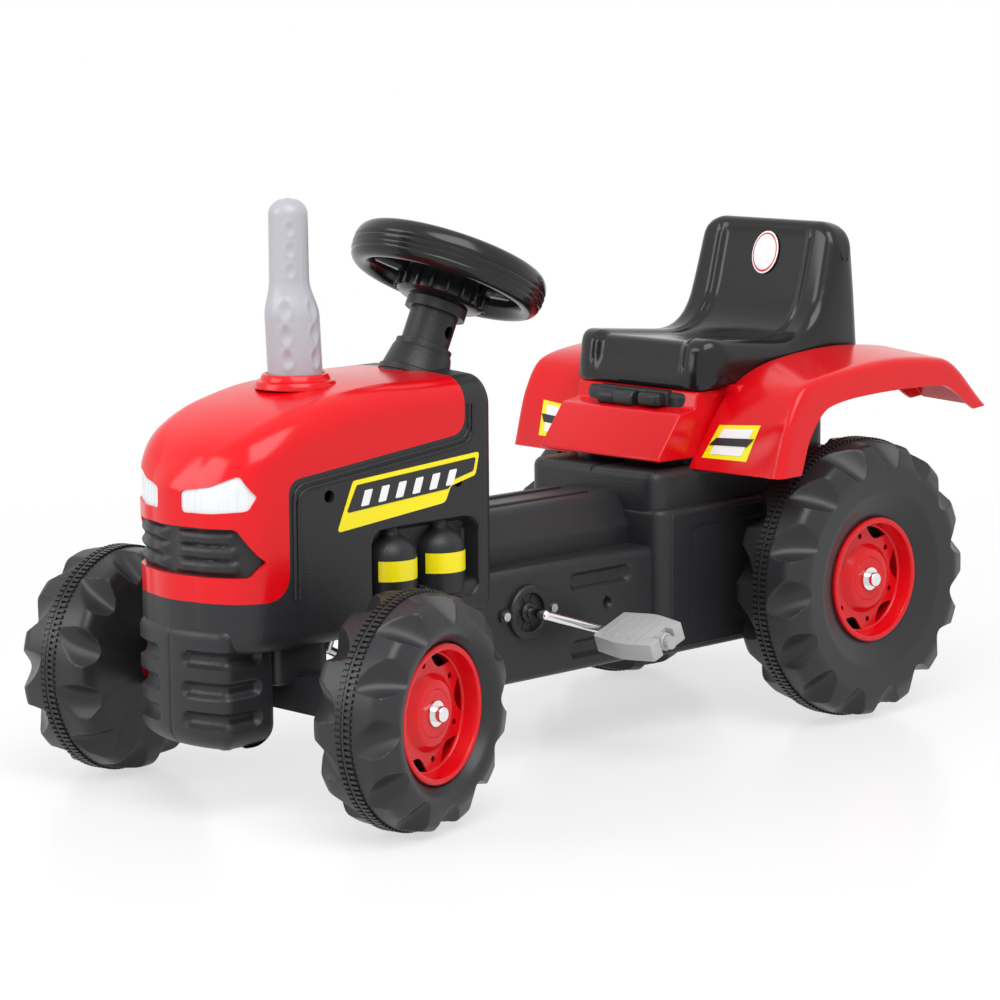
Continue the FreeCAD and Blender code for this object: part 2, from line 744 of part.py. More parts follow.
def crank_pin_top():
    """Outer end of the column's crank, straight ahead."""
    return column_foot() + COLUMN_BACK * STEER_ARM


def crank_point_at(z):
    """Point on the crank's pin at a height."""
    top = crank_pin_top()
    return top - COLUMN_UP * ((top.z - z) / math.cos(TILT))


def turned(shape):
    """Steering piece turned about the column to the resting steering angle."""
    piece = shape.copy()
    piece.rotate(COLUMN_BASE, COLUMN_UP, REST_STEER)
    return piece


def column_piece(shape):
    """Piece modelled about the z axis from the collar, moved onto the column."""
    piece = shape.copy()
    piece.rotate(V(), ACROSS, -COLUMN_TILT)
    piece.translate(COLUMN_BASE)
    return piece


def steering_shaft():
    """Bent steel rod: shaft, crank and the pin that works in the tie rod's slot."""
    foot = column_foot()
    corner = crank_pin_top()
    end = crank_point_at(tie_rod_low() - 2 * GAP)
    top = on_column(WHEEL_PLANE + STEER_DISH)
    shaft = rod(foot, top, SHAFT_R)
    arm = rod(foot, corner, ARM_PIN_R)
    pin = rod(corner, end, ARM_PIN_R)
    bends = [Part.makeSphere(SHAFT_R, foot), Part.makeSphere(ARM_PIN_R, corner)]
    return joined(shaft, arm, pin, *bends)


def steering_sleeve():
    """Tube round the shaft under the steering wheel, with an oval hole and a ring at its top."""
    top = WHEEL_PLANE - STEER_HUB_DEPTH
    outer = rod(V(0, 0, SLEEVE_START), V(0, 0, top), SLEEVE_R)
    ring = rod(V(0, 0, top - HUB_RING), V(0, 0, top), HUB_RING_R)
    bore = rod(V(0, 0, SLEEVE_START), V(0, 0, top), SLEEVE_R - SLEEVE_WALL)
    web = rod(V(0, 0, top - HUB_RING), V(0, 0, top), SLEEVE_R)
    web = web.cut(rod(V(0, 0, top - HUB_RING), V(0, 0, top), SHAFT_R + FIT))
    mid = (SLEEVE_START + top - HUB_RING) / 2
    hole = rod(V(0, 0, mid), V(0, SLEEVE_R * 2, mid), SLEEVE_WALL * 2)
    return column_piece(joined(joined(outer, ring).cut(bore), web).cut(hole))


def steering_wheel():
    """Thick oval rim on a dished hub with three spokes."""
    section = Part.Ellipse(V(), STEER_RIM_HALF_H, STEER_RIM_HALF_W).toShape()
    face = Part.Face(Part.Wire(section))
    face.Placement = FreeCAD.Placement(V(STEER_RIM_R, 0, WHEEL_PLANE), FreeCAD.Rotation(V(1, 1, 1), 240))
    wheel = face.revolve(V(0, 0, WHEEL_PLANE), UP, 360)
    low = WHEEL_PLANE - STEER_HUB_DEPTH
    hub = rod(V(0, 0, low), V(0, 0, WHEEL_PLANE + STEER_DISH), STEER_HUB_R)
    hollow = rod(V(0, 0, low), V(0, 0, WHEEL_PLANE), STEER_HUB_R - STEER_DISH)
    core = rod(V(0, 0, low), V(0, 0, WHEEL_PLANE), HUB_RING_R - STEER_DISH)
    reach = STEER_RIM_R - STEER_RIM_HALF_W / 2
    spokes = []
    spoke_low = WHEEL_PLANE - STEER_DISH
    spoke_top = WHEEL_PLANE + STEER_DISH
    for angle in STEER_SPOKE_ANGLES:
        spoke = box(0, reach, -STEER_SPOKE_HALF, STEER_SPOKE_HALF, spoke_low, spoke_top)
        spoke.rotate(V(), UP, angle)
        spokes.append(spoke)
    body = joined(wheel, hub, *spokes).cut(hollow)
    body = joined(body, core)
    bore = rod(V(0, 0, low), V(0, 0, WHEEL_PLANE + STEER_DISH), SHAFT_R + FIT)
    return column_piece(body.cut(bore))


def steering_cap():
    """Cover disc on the steering wheel's hub."""
    base = WHEEL_PLANE + STEER_DISH
    disc = rod(V(0, 0, base), V(0, 0, base + STEER_CAP), STEER_CAP_R)
    disc = disc.makeFillet(STEER_CAP / 2, [disc.Edges[0]])
    return column_piece(disc)


def column_collar():
    """Ring bearing for the shaft in the top of the body's neck."""
    ring = rod(V(), V(0, 0, COLLAR_HEIGHT), COLLAR_R)
    plug = rod(V(0, 0, -SHELL * 4), V(), NECK_TOP_R - SHELL - FIT)
    bore = rod(V(0, 0, -SHELL * 4), V(0, 0, COLLAR_HEIGHT), SHAFT_R + RUN)
    return column_piece(joined(ring, plug).cut(bore))


def belly_crossing():
    """Distance along the column, from its collar, of the point where the axis meets the belly."""
    return -(COLUMN_Z - BELLY_Z) / math.cos(TILT)


def foot_pad():
    """Thick seat round the column where it leaves the belly."""
    at = belly_crossing()
    pad = rod(on_column(at - FOOT_PAD_R), on_column(at + FOOT_PAD_TOP), FOOT_PAD_R)
    below = box(TOWER_REAR, NOSE_X, -FRONT_HALF, FRONT_HALF, 0, BELLY_Z)
    return pad.cut(below)


def column_foot_bush():
    """Flanged bush for the shaft, pushed into its seat in the belly from inside."""
    at = belly_crossing()
    top = at + FOOT_PAD_TOP
    body = rod(on_column(at - BUSH_WALL), on_column(top), SHAFT_R + BUSH_WALL - FIT)
    flange = rod(on_column(top), on_column(top + BUSH_WALL / 2), FOOT_PAD_R)
    bore = rod(on_column(at - BUSH_WALL), on_column(top + BUSH_WALL), SHAFT_R + RUN)
    return joined(body, flange).cut(bore)


# Body shell

def nose_stations():
    """Sections of the front body: x, half width, top height and shoulder radius."""
    stations = [(TOWER_REAR, FRONT_HALF, BONNET_TOP, TOWER_SHOULDER)]
    for back, draw, drop, shoulder in NOSE_SECTIONS:
        stations.append((NOSE_X - back, FRONT_HALF - draw, BONNET_TOP - drop, shoulder))
    return stations


def front_form(inset):
    """Loft of the front body and bonnet, drawn in all round by the inset."""
    middle = (TOWER_REAR + NOSE_X) / 2
    shrink = 1 - inset / (NOSE_X - middle)
    wires = []
    for x, half, top, shoulder in nose_stations():
        w = half - inset
        corners = [
            (-w, BELLY_Z + inset, BELLY_ROUND - inset / 2),
            (w, BELLY_Z + inset, BELLY_ROUND - inset / 2),
            (w, top - inset, shoulder - inset / 2),
            (-w, top - inset, shoulder - inset / 2),
        ]
        wire = rounded_outline(corners)
        place = V(middle + (x - middle) * shrink, 0, 0)
        wire.Placement = FreeCAD.Placement(place, FreeCAD.Rotation(V(1, 1, 1), 120))
        wires.append(wire)
    return Part.makeLoft(wires, True, True)


def bonnet_region(grow=0.0):
    """Block that the bonnet's edge cuts out of the front form, grown for the gap round it."""
    far_x = NOSE_X + BEYOND
    high = BONNET_TOP + BEYOND
    corners = [
        (far_x, BONNET_EDGE, 0),
        (BONNET_SIDE_X, BONNET_EDGE, BONNET_FRONT_ROUND),
        (BONNET_SIDE_X, BONNET_SIDE_Z, BONNET_CORNER),
        (BONNET_REAR_X, BONNET_REAR_Z, BONNET_CORNER),
        (BONNET_REAR_X, high, 0),
        (far_x, high, 0),
    ]
    return side_prism(corners, -FRONT_HALF * 2, FRONT_HALF * 2, -grow)


def grille_region(shrink=0.0):
    """Block of the grille's outline through the nose."""
    low, high = GRILLE_Z
    tip_z = low + (high - low) * GRILLE_TIP_AT
    tip = GRILLE_HALF + GRILLE_TIP
    top = GRILLE_HALF - GRILLE_TIP
    corners = [
        (-GRILLE_HALF, low, TRIM_ROUND),
        (GRILLE_HALF, low, TRIM_ROUND),
        (tip, tip_z, TRIM_ROUND),
        (top, high, TRIM_ROUND),
        (-top, high, TRIM_ROUND),
        (-tip, tip_z, TRIM_ROUND),
    ]
    return front_prism(corners, BONNET_SIDE_X + TRIM_DEPTH, NOSE_X + BEYOND, shrink)


def lamp_region(side, shrink=0.0):
    """Block of a swept lamp's outline through a corner of the nose."""
    inner, outer = LAMP_Y
    low, high = LAMP_Z
    rise = (high - low) * LAMP_SLOPE
    corners = [
        (inner, low, TRIM_ROUND),
        (outer - TRIM_ROUND, low + TRIM_ROUND / 2, TRIM_ROUND),
        (outer, low + rise, TRIM_ROUND),
        (outer - LAMP_SWEEP, high, TRIM_ROUND),
        (inner, high - rise, TRIM_ROUND),
    ]
    block = front_prism(corners, BONNET_SIDE_X + TRIM_DEPTH, NOSE_X + BEYOND, shrink)
    return block if side > 0 else mirrored(block)


def bonnet():
    """Skin over the nose and engine, opened for the grille, the lamps and the exhaust."""
    skin = front_form(0).cut(front_form(BONNET_SKIN)).common(bonnet_region())
    skin = skin.cut([grille_region(), lamp_region(1), lamp_region(-1)])
    seat = rod(V(EXHAUST_X, 0, BONNET_EDGE), V(EXHAUST_X, 0, STACK_SEAT_Z), STACK_SEAT_R)
    seat = seat.cut(front_form(BONNET_SKIN))
    pads = []
    holes = [rod(V(EXHAUST_X, 0, BONNET_EDGE), V(EXHAUST_X, 0, STACK_SEAT_Z), EXHAUST_NECK_R + FIT)]
    for y in (-BONNET_SCREW_Y, BONNET_SCREW_Y):
        low = V(BONNET_SCREW_X, y, bonnet_pad_low())
        pads.append(rod(low, V(BONNET_SCREW_X, y, BONNET_TOP - BONNET_SKIN), BOSS_R))
        holes.append(rod(low, V(BONNET_SCREW_X, y, BONNET_TOP - BONNET_SKIN), SCREW_R + FIT))
    return skin.fuse([seat] + pads).cut(holes + [neck(-GAP)])


def bonnet_pad_low():
    """Underside of the bonnet's screw pads, level with the inside of the body's top skin."""
    return BONNET_TOP - BONNET_SKIN - GAP - SHELL


def lamp(side):
    """Clear lens let into the bonnet's corner."""
    skin = front_form(0).cut(front_form(LAMP_SKIN))
    return skin.common(lamp_region(side, GAP / 2))


def bonnet_screws():
    """Broad-headed screws up from inside the body into the bonnet's pads."""
    screws = []
    low = bonnet_pad_low()
    for y in (-BONNET_SCREW_Y, BONNET_SCREW_Y):
        head = rod(V(BONNET_SCREW_X, y, low - SCREW_HEAD), V(BONNET_SCREW_X, y, low), BONNET_SCREW_HEAD_R)
        shank = upright(BONNET_SCREW_X, y, low, low + SHELL, SCREW_R)
        screws.append(joined(head, shank))
    return Part.makeCompound(screws)


def body_blocks(inset):
    """Blocks behind the front form that make up the body, drawn in by the inset."""
    back = BASE_FRONT - 2 * LAP
    run_out = SILL_FRONT + SILL_RUN_OUT
    sill_outline = [
        (back, BODY_BOTTOM, 0),
        (SILL_FRONT, BODY_BOTTOM, SILL_ROUND),
        (run_out, BELLY_Z + LAP, 0),
        (run_out, SILL_TOP, 0),
        (back, SILL_TOP, 0),
    ]
    sill = side_prism(sill_outline, -SILL_HALF + inset, SILL_HALF - inset, inset)
    tunnel_outline = [
        (-TUNNEL_HALF, SILL_TOP - LAP, 0),
        (TUNNEL_HALF, SILL_TOP - LAP, 0),
        (TUNNEL_HALF, SILL_TOP + TUNNEL_SIDE, TUNNEL_EDGE_ROUND),
        (TUNNEL_TOP_HALF, TUNNEL_TOP, TUNNEL_ROUND),
        (-TUNNEL_TOP_HALF, TUNNEL_TOP, TUNNEL_ROUND),
        (-TUNNEL_HALF, SILL_TOP + TUNNEL_SIDE, TUNNEL_EDGE_ROUND),
    ]
    tunnel = front_prism(tunnel_outline, back + inset, TOWER_REAR + 2 * LAP - inset, inset)
    lower_plan = plan_corners(BASE_FRONT, BASE_LOWER_HALF)
    lower = plan_prism(lower_plan, BODY_BOTTOM + inset, LEDGE_Z - inset, inset)
    upper_plan = plan_corners(BASE_FRONT, BASE_HALF)
    upper = plan_prism(upper_plan, LEDGE_Z - LAP + inset, BASE_TOP - inset, inset)
    riser_plan = plan_corners(RISER_FRONT - DECK_ROUND, RISER_HALF)
    riser = plan_prism(riser_plan, BASE_TOP - LAP + inset, RISER_TOP - inset, inset)
    return [sill, tunnel, lower, upper, riser]


def plan_corners(front, half):
    """Plan outline of a block of the seat base."""
    return [(BASE_REAR, -half, BASE_CORNER), (front, -half, BASE_CORNER),
            (front, half, BASE_CORNER), (BASE_REAR, half, BASE_CORNER)]


def chin(inset):
    """Radiator guard that hangs in front of the axle: bowed front, rounded along its bottom."""
    half = CHIN_HALF - inset
    low = CHIN_BOTTOM + inset
    high = CHIN_TOP - inset
    front = FRONT_REACH - inset
    rear = CHIN_REAR + inset
    plan = [
        (rear, -half, CHIN_BACK_ROUND),
        (front - CHIN_BOW, -half, CHIN_ROUND),
        (front, 0, CHIN_BOW_R),
        (front - CHIN_BOW, half, CHIN_ROUND),
        (rear, half, CHIN_BACK_ROUND),
    ]
    profile = [(rear, low, CHIN_LOW_ROUND), (front, low, CHIN_LOW_ROUND), (front, high, 0), (rear, high, 0)]
    return plan_prism(plan, low, high).common(side_prism(profile, -half, half))


def neck(inset):
    """Leaning neck that carries the column's collar."""
    cone = Part.makeCone(NECK_BASE_R - inset, NECK_TOP_R - inset, NECK_LENGTH, V(0, 0, -NECK_LENGTH), UP)
    return column_piece(cone)


def chin_grooves():
    """Horizontal grooves round both front corners of the chin."""
    grooves = []
    skin = chin(0).cut(chin(CHIN_GROOVE_D))
    for z in CHIN_GROOVE_Z:
        for side in (1, -1):
            y0, y1 = sorted((side * CHIN_ROUND, side * CHIN_HALF * 2))
            band = box(CHIN_GROOVE_BACK, FRONT_REACH + BEYOND, y0, y1, z, z + CHIN_GROOVE_H)
            grooves.append(skin.common(band))
    return grooves


def louvres():
    """Slits in the grille on both sides of its centre."""
    low, high = GRILLE_Z
    slits = []
    step = (high - low) / (LOUVRES + 1)
    skin = front_form(0).cut(front_form(LOUVRE_D))
    for k in range(1, LOUVRES + 1):
        z = low + step * k - LOUVRE_H / 2
        for side in (1, -1):
            y0, y1 = sorted((side * LOUVRE_INSET, side * (GRILLE_HALF - LOUVRE_INSET)))
            slits.append(skin.common(box(BONNET_SIDE_X, NOSE_X + BEYOND, y0, y1, z, z + LOUVRE_H)))
    return slits


def side_recesses():
    """Shallow slots and panels in both sides of the body."""
    cuts = []
    x0, x1 = SLOT_X
    px0, px1 = PANEL_X
    pz0, pz1 = PANEL_Z
    round_end = SLOT_H * 0.45
    for z in SLOT_Z:
        outline = [(x0, z - SLOT_H / 2, round_end), (x1, z - SLOT_H / 2, round_end),
                   (x1, z + SLOT_H / 2, round_end), (x0, z + SLOT_H / 2, round_end)]
        slot = side_prism(outline, SILL_HALF - SIDE_RECESS_D, SILL_HALF + SHELL)
        cuts += [slot, mirrored(slot)]
    outline = [(px, pz, PANEL_ROUND) for px, pz in ((px0, pz0), (px1, pz0), (px1, pz1), (px0, pz1))]
    panel = side_prism(outline, BASE_LOWER_HALF - SIDE_RECESS_D / 2, BASE_LOWER_HALF + SHELL)
    return cuts + [panel, mirrored(panel)]


def recess_backs():
    """Wall kept behind the deep side slots."""
    x0, x1 = SLOT_X
    pad = SHELL
    backs = []
    for z in SLOT_Z:
        low = z - SLOT_H / 2 - pad
        high = z + SLOT_H / 2 + pad
        block = box(x0 - pad, x1 + pad, SILL_HALF - SIDE_RECESS_D - pad, SILL_HALF - SHELL, low, high)
        backs += [block, mirrored(block)]
    return backs


def niches(grow):
    """Niche in each side of the tower, wider by the shell where its own wall needs the room."""
    front, rear = (WHEELBASE - back for back in NICHE_SETBACK)
    low, high = NICHE_Z
    bend = NICHE_ROUND + grow
    outline = [(rear - grow, low - grow, bend), (front + grow, low - grow, bend),
               (front + grow, high + grow, bend), (rear - grow, high + grow, bend)]
    pocket = side_prism(outline, FRONT_HALF - NICHE_D - grow, FRONT_HALF + BEYOND)
    return [pocket, mirrored(pocket)]


def flasks(inset):
    """Round flasks moulded half out of the back of the niches."""
    made = []
    y = FRONT_HALF - NICHE_D
    radius = FLASK_R - inset
    knob = FLASK_KNOB_R - inset
    neck_low = FLASK_SHOULDER + FLASK_DOME - inset
    ball = FLASK_TOP - FLASK_KNOB_R
    for back in FLASK_SETBACK:
        x = WHEELBASE - back
        shoulder = V(x, y, FLASK_SHOULDER - inset)
        barrel = rod(V(x, y, FLASK_BOTTOM + inset), shoulder, radius)
        dome = Part.makeCone(radius, knob, FLASK_DOME, shoulder, UP)
        stem = rod(V(x, y, neck_low), V(x, y, ball), knob)
        flask = joined(barrel, dome, stem, Part.makeSphere(knob, V(x, y, ball)))
        made += [flask, mirrored(flask)]
    return made


def body_half(side):
    """One half of the body shell, split on the tractor's middle plane."""
    gap = BONNET_SKIN + GAP
    region = bonnet_region(GAP)
    front = front_form(0).cut(region)
    under = front_form(gap).common(region)
    grille = front_form(0).cut(front_form(gap)).common(grille_region(GAP))
    solid = front.fuse([under, grille, chin(0), neck(0)] + body_blocks(0))
    solid = solid.cut(niches(0)).fuse(flasks(0))
    hollow = front_form(gap + SHELL).fuse([chin(SHELL), neck(SHELL)] + body_blocks(SHELL))
    hollow = hollow.cut(niches(SHELL)).fuse(flasks(SHELL))
    y0, y1 = sorted((0, side * HALF_SPACE))
    half_space = box(-HALF_SPACE, HALF_SPACE, y0, y1, -HALF_SPACE, HALF_SPACE)
    shell = solid.cut(hollow).common(half_space)
    additions = [piece.common(half_space) for piece in recess_backs() + [foot_pad()]] + bosses(side)
    shell = shell.fuse(additions)
    cuts = chin_grooves() + louvres() + side_recesses() + body_openings()
    return shell.cut(cuts).removeSplitter()


def boss_wall(x):
    """Half width of the body's outer wall at a screw's place."""
    if x > TOWER_REAR:
        return FRONT_HALF
    return SILL_HALF if x > BASE_FRONT else BASE_HALF


def bosses(side):
    """Screw pillars from the side wall to the middle plane."""
    made = []
    for x, z in BODY_SCREWS:
        end = boss_wall(x) - SHELL
        y0, y1 = sorted((0, side * end))
        pillar = rod(V(x, y0, z), V(x, y1, z), BOSS_R)
        made.append(pillar)
    return made


def cross_hole(x, z, radius):
    """Hole right across the tractor."""
    wide = BASE_LOWER_HALF * 2
    return rod(V(x, -wide, z), V(x, wide, z), radius)


def upright(x, y, low, high, radius):
    """Round bar or hole standing between two heights."""
    return rod(V(x, y, low), V(x, y, high), radius)


def body_openings():
    """Holes through the shell for axles, bushes, the column and the screws."""
    screw = SCREW_R + FIT
    cuts = [cross_hole(CRANK_X, CRANK_Z, CRANK_BUSH_R + FIT)]
    for step in (-EAR_REACH, EAR_REACH):
        cuts.append(cross_hole(CRANK_X + step, CRANK_Z, EAR_SCREW_R + FIT))
    cuts.append(cross_hole(0, REAR_WHEEL_R, AXLE_R + RUN + BUSH_WALL + FIT))
    cuts.append(rod(on_column(-SHELL * 5), on_column(SHELL), NECK_TOP_R - SHELL))
    at = belly_crossing()
    cuts.append(rod(on_column(at - 2 * FOOT_PAD_R), on_column(at + FOOT_PAD_TOP), SHAFT_R + BUSH_WALL))
    for x, z in BODY_SCREWS:
        wall = boss_wall(x)
        head_y = wall - BODY_SCREW_DEPTH
        cuts.append(rod(V(x, head_y, z), V(x, wall * 2, z), SCREW_HEAD_R + GAP))
        cuts.append(rod(V(x, head_y - BODY_SCREW_LENGTH, z), V(x, wall, z), screw))
    for y in beam_screw_places():
        cuts.append(upright(WHEELBASE, y, BELLY_Z - SHELL, BELLY_Z + SHELL * 3, screw))
    for x, y in seat_screw_places() + fender_screw_places():
        cuts.append(upright(x, y, RISER_TOP - 4 * SHELL, RISER_TOP + SHELL, screw))
    top_low = BONNET_TOP - 2 * LAP
    cuts.append(upright(EXHAUST_X, 0, top_low, BONNET_TOP, EXHAUST_NECK_R + GAP))
    for y in (-BONNET_SCREW_Y, BONNET_SCREW_Y):
        cuts.append(upright(BONNET_SCREW_X, y, top_low, BONNET_TOP, BOSS_R + GAP))
    return cuts


def body_screws():
    """Long screws that pull the two body halves together."""
    screws = []
    for x, z in BODY_SCREWS:
        head_y = boss_wall(x) - BODY_SCREW_DEPTH
        head = rod(V(x, head_y, z), V(x, head_y + SCREW_HEAD, z), SCREW_HEAD_R)
        shank = rod(V(x, head_y - BODY_SCREW_LENGTH, z), V(x, head_y, z), SCREW_R)
        screws.append(joined(head, shank))
    return Part.makeCompound(screws)


# Exhaust

def exhaust():
    """Hollow stack with a narrower leaning top, plugged into the bonnet."""
    base = STACK_SEAT_Z
    plug = rod(V(EXHAUST_X, 0, base - EXHAUST_PLUG), V(EXHAUST_X, 0, base), EXHAUST_NECK_R)
    waist = EXHAUST_NECK_Z - EXHAUST_TAPER
    lower = rod(V(EXHAUST_X, 0, base), V(EXHAUST_X, 0, waist), EXHAUST_R)
    taper = Part.makeCone(EXHAUST_R, EXHAUST_NECK_R, EXHAUST_TAPER, V(EXHAUST_X, 0, waist), UP)
    lean = V(-math.sin(math.radians(EXHAUST_LEAN)), 0, math.cos(math.radians(EXHAUST_LEAN)))
    neck_base = V(EXHAUST_X, 0, EXHAUST_NECK_Z)
    length = EXHAUST_TOP - EXHAUST_NECK_Z - EXHAUST_NECK_R
    tip = neck_base + lean * length
    upper = rod(neck_base, tip, EXHAUST_NECK_R)
    crown = Part.makeSphere(EXHAUST_NECK_R, tip)
    joint = Part.makeSphere(EXHAUST_NECK_R, neck_base)
    bore = rod(V(EXHAUST_X, 0, base - EXHAUST_PLUG), V(EXHAUST_X, 0, waist), EXHAUST_NECK_R - EXHAUST_WALL)
    throat = rod(V(EXHAUST_X, 0, waist), neck_base, EXHAUST_NECK_R - EXHAUST_WALL)
    inner = rod(neck_base, tip, EXHAUST_NECK_R - EXHAUST_WALL)
    swell = rod(V(EXHAUST_X, 0, base + EXHAUST_WALL), V(EXHAUST_X, 0, waist), EXHAUST_R - EXHAUST_WALL)
    return joined(plug, lower, taper, upper, crown, joint).cut([bore, throat, inner, swell])


# Fender and seat

def wing_top():
    """Arched top line of a wing, from its front edge to its tail."""
    return [
        (WING_FRONT, WING_FRONT_Z, 0),
        (WING_KNEE_X, WING_KNEE_Z, WING_KNEE_ROUND),
        (WING_TOP_X, WING_TOP, WING_TOP_ROUND),
        (WING_BACK_X, WING_BACK_Z, WING_BACK_ROUND),
        (-TAIL_REACH, TAIL_Z, 0),
    ]


def wing_outline():
    """Side outline of a wing: its arched top and the skirt's lower edge."""
    return wing_top() + [
        (-TAIL_REACH + WING_SKIRT, TAIL_Z, 0),
        (WING_BACK_X, WING_BACK_Z - WING_SKIRT, WING_EDGE_ROUND),
        (WING_TOP_X, WING_TOP - WING_SKIRT, WING_TOP_ROUND),
        (WING_KNEE_X - WING_SKIRT, WING_KNEE_Z - WING_SKIRT, WING_EDGE_ROUND),
        (WING_FRONT - WING_SKIRT, WING_FRONT_Z, 0),
    ]


def wing_inner_outline():
    """Space under a wing's top skin, open below."""
    low = TAIL_Z - BEYOND
    return wing_top() + [(-TAIL_REACH, low, 0), (WING_FRONT, low, 0)]


def wing():
    """Left wing: top skin, outer skirt and inner wall."""
    outer = side_prism(wing_outline(), FENDER_INNER, FENDER_HALF)
    near = FENDER_INNER + FENDER_WALL
    far = FENDER_HALF - FENDER_WALL
    inner = side_prism(wing_inner_outline(), near, far, FENDER_WALL)
    return outer.cut(inner)


def wing_front_at(z):
    """Where the sloping front of a wing lies at a height."""
    share = (z - WING_FRONT_Z) / (WING_KNEE_Z - WING_FRONT_Z)
    return WING_FRONT + (WING_KNEE_X - WING_FRONT) * share


def apron():
    """Front face of the left wing carried inwards over the seat base to the skirt's side."""
    low = BASE_TOP + APRON_LIFT
    outline = []
    for z, back in ((low, 0), (DECK_TOP, 0), (DECK_TOP, FENDER_WALL), (low, FENDER_WALL)):
        outline.append((wing_front_at(z) - back, z, 0))
    return side_prism(outline, SKIRT_HALF - FENDER_WALL, FENDER_INNER + FENDER_WALL)


def deck_outline():
    """Side outline of the middle of the fender: front skirt, deck and back edge."""
    back = DECK_REAR - DECK_LIP
    low = SKIRT_BOTTOM - DECK_BACK_DROP
    return [
        (SKIRT_FRONT, SKIRT_BOTTOM, 0),
        (SKIRT_TOP_X, SKIRT_TOP, DECK_ROUND),
        (RISER_FRONT, DECK_TOP, DECK_ROUND),
        (DECK_REAR, DECK_TOP, DECK_ROUND),
        (back, DECK_TOP - DECK_BACK_DROP, 0),
        (back, low, 0),
        (SKIRT_FRONT, low, 0),
    ]


def fender():
    """One moulding across both rear wheels: two wings, the deck under the seat and the front skirt."""
    half = SKIRT_HALF
    block = side_prism(deck_outline(), -half, half)
    space = side_prism(deck_outline(), -half + FENDER_WALL, half - FENDER_WALL, FENDER_WALL)
    back = DECK_REAR - BEYOND
    floor = box(back, SKIRT_FRONT + BEYOND, -half, half, 0, SKIRT_BOTTOM)
    side_trim = box(back, DECK_SIDE_FRONT, -half, half, 0, DECK_TOP - DECK_EDGE)
    middle = block.cut([space, floor, side_trim])
    bridge = box(BRIDGE_REAR, wing_front_at(DECK_TOP), half - FENDER_WALL, FENDER_INNER, RISER_TOP, DECK_TOP)
    left = joined(wing(), bridge, apron())
    body = joined(middle, left, mirrored(left))
    holes = []
    for x, y in seat_screw_places() + fender_screw_places():
        holes.append(upright(x, y, SKIRT_BOTTOM, DECK_TOP + SHELL, SCREW_R + FIT))
    return body.cut(holes)


def seat_screw_places():
    """Plan places of the seat's screws."""
    return [(x, y) for x in SEAT_SCREW_X for y in (-SEAT_SCREW_Y, SEAT_SCREW_Y)]


def fender_screw_places():
    """Plan places of the fender's screws."""
    return [(x, y) for x in FENDER_SCREW_X for y in (-FENDER_SCREW_Y, FENDER_SCREW_Y)]


def fender_screws():
    """Screws down through the deck into the body's riser."""
    screws = []
    for x, y in fender_screw_places():
        head = rod(V(x, y, DECK_TOP), V(x, y, DECK_TOP + SCREW_HEAD), SCREW_HEAD_R)
        shank = rod(V(x, y, RISER_TOP - 4 * SHELL), V(x, y, DECK_TOP), SCREW_R)
        screws.append(joined(head, shank))
    return Part.makeCompound(screws)


def seat_outline():
    """Side outline of the seat pan and its backrest."""
    edge = DECK_TOP + SEAT_EDGE
    return [
        (SEAT_FRONT, DECK_TOP, 0),
        (SEAT_FRONT - SEAT_RAKE, edge, SEAT_EDGE_ROUND),
        (SEAT_FRONT - SEAT_PAN, edge - SEAT_PAN_DROP, SEAT_PAN_ROUND),
        (BACK_X + BACK_THICK + SEAT_HEEL, DECK_TOP + SEAT_DIP, SEAT_HEEL_ROUND),
        (BACK_X + BACK_THICK / 2, BACK_TOP, BACK_ROUND),
        (BACK_X - BACK_THICK / 2, BACK_TOP - SEAT_RAKE, BACK_ROUND),
        (SEAT_REAR, DECK_TOP, 0),
    ]


def seat():
    """Hollow seat open below, rounded in plan, with a pillar for each screw."""
    rear = SEAT_REAR - SEAT_REAR_ROOM
    plan = [
        (rear, -SEAT_HALF, SEAT_CORNER),
        (SEAT_FRONT, -SEAT_HALF, SEAT_CORNER),
        (SEAT_FRONT, SEAT_HALF, SEAT_CORNER),
        (rear, SEAT_HALF, SEAT_CORNER),
    ]
    block = side_prism(seat_outline(), -SEAT_HALF, SEAT_HALF)
    block = block.common(plan_prism(plan, DECK_TOP, BACK_TOP))
    space = side_prism(seat_outline(), -SEAT_HALF + SEAT_WALL, SEAT_HALF - SEAT_WALL, SEAT_WALL)
    space = space.common(plan_prism(plan, DECK_TOP, BACK_TOP, SEAT_WALL))
    mouth = plan_prism(plan, DECK_TOP, DECK_TOP + SEAT_WALL * 2, SEAT_WALL * 2)
    shell = block.cut([space, mouth])
    pillars = []
    holes = []
    for x, y in seat_screw_places():
        pillars.append(upright(x, y, DECK_TOP, BACK_TOP, BOSS_R).common(block))
        holes.append(upright(x, y, DECK_TOP, SEAT_SCREW_TOP, SCREW_R + FIT))
    return joined(shell, *pillars).cut(holes)


def seat_screws():
    """Screws up through the riser and the deck into the seat's pillars."""
    screws = []
    under = RISER_TOP - SHELL
    for x, y in seat_screw_places():
        head = rod(V(x, y, under - SCREW_HEAD), V(x, y, under), SCREW_HEAD_R)
        shank = rod(V(x, y, under), V(x, y, SEAT_SCREW_TOP - END_PLAY), SCREW_R)
        screws.append(joined(head, shank))
    return Part.makeCompound(screws)


# Pedal drive

def crank_arm_y():
    """Distance from the middle plane to the crank arms."""
    return SILL_HALF + CRANK_FLANGE + ARM_OFFSET


def pedal_pin(side):
    """Centre of a pedal's pin in x and z at rest, half a turn apart on the two sides."""
    angle = math.radians(CRANK_REST + (0 if side > 0 else 180))
    return V(CRANK_X + CRANK_ARM * math.cos(angle), 0, CRANK_Z + CRANK_ARM * math.sin(angle))


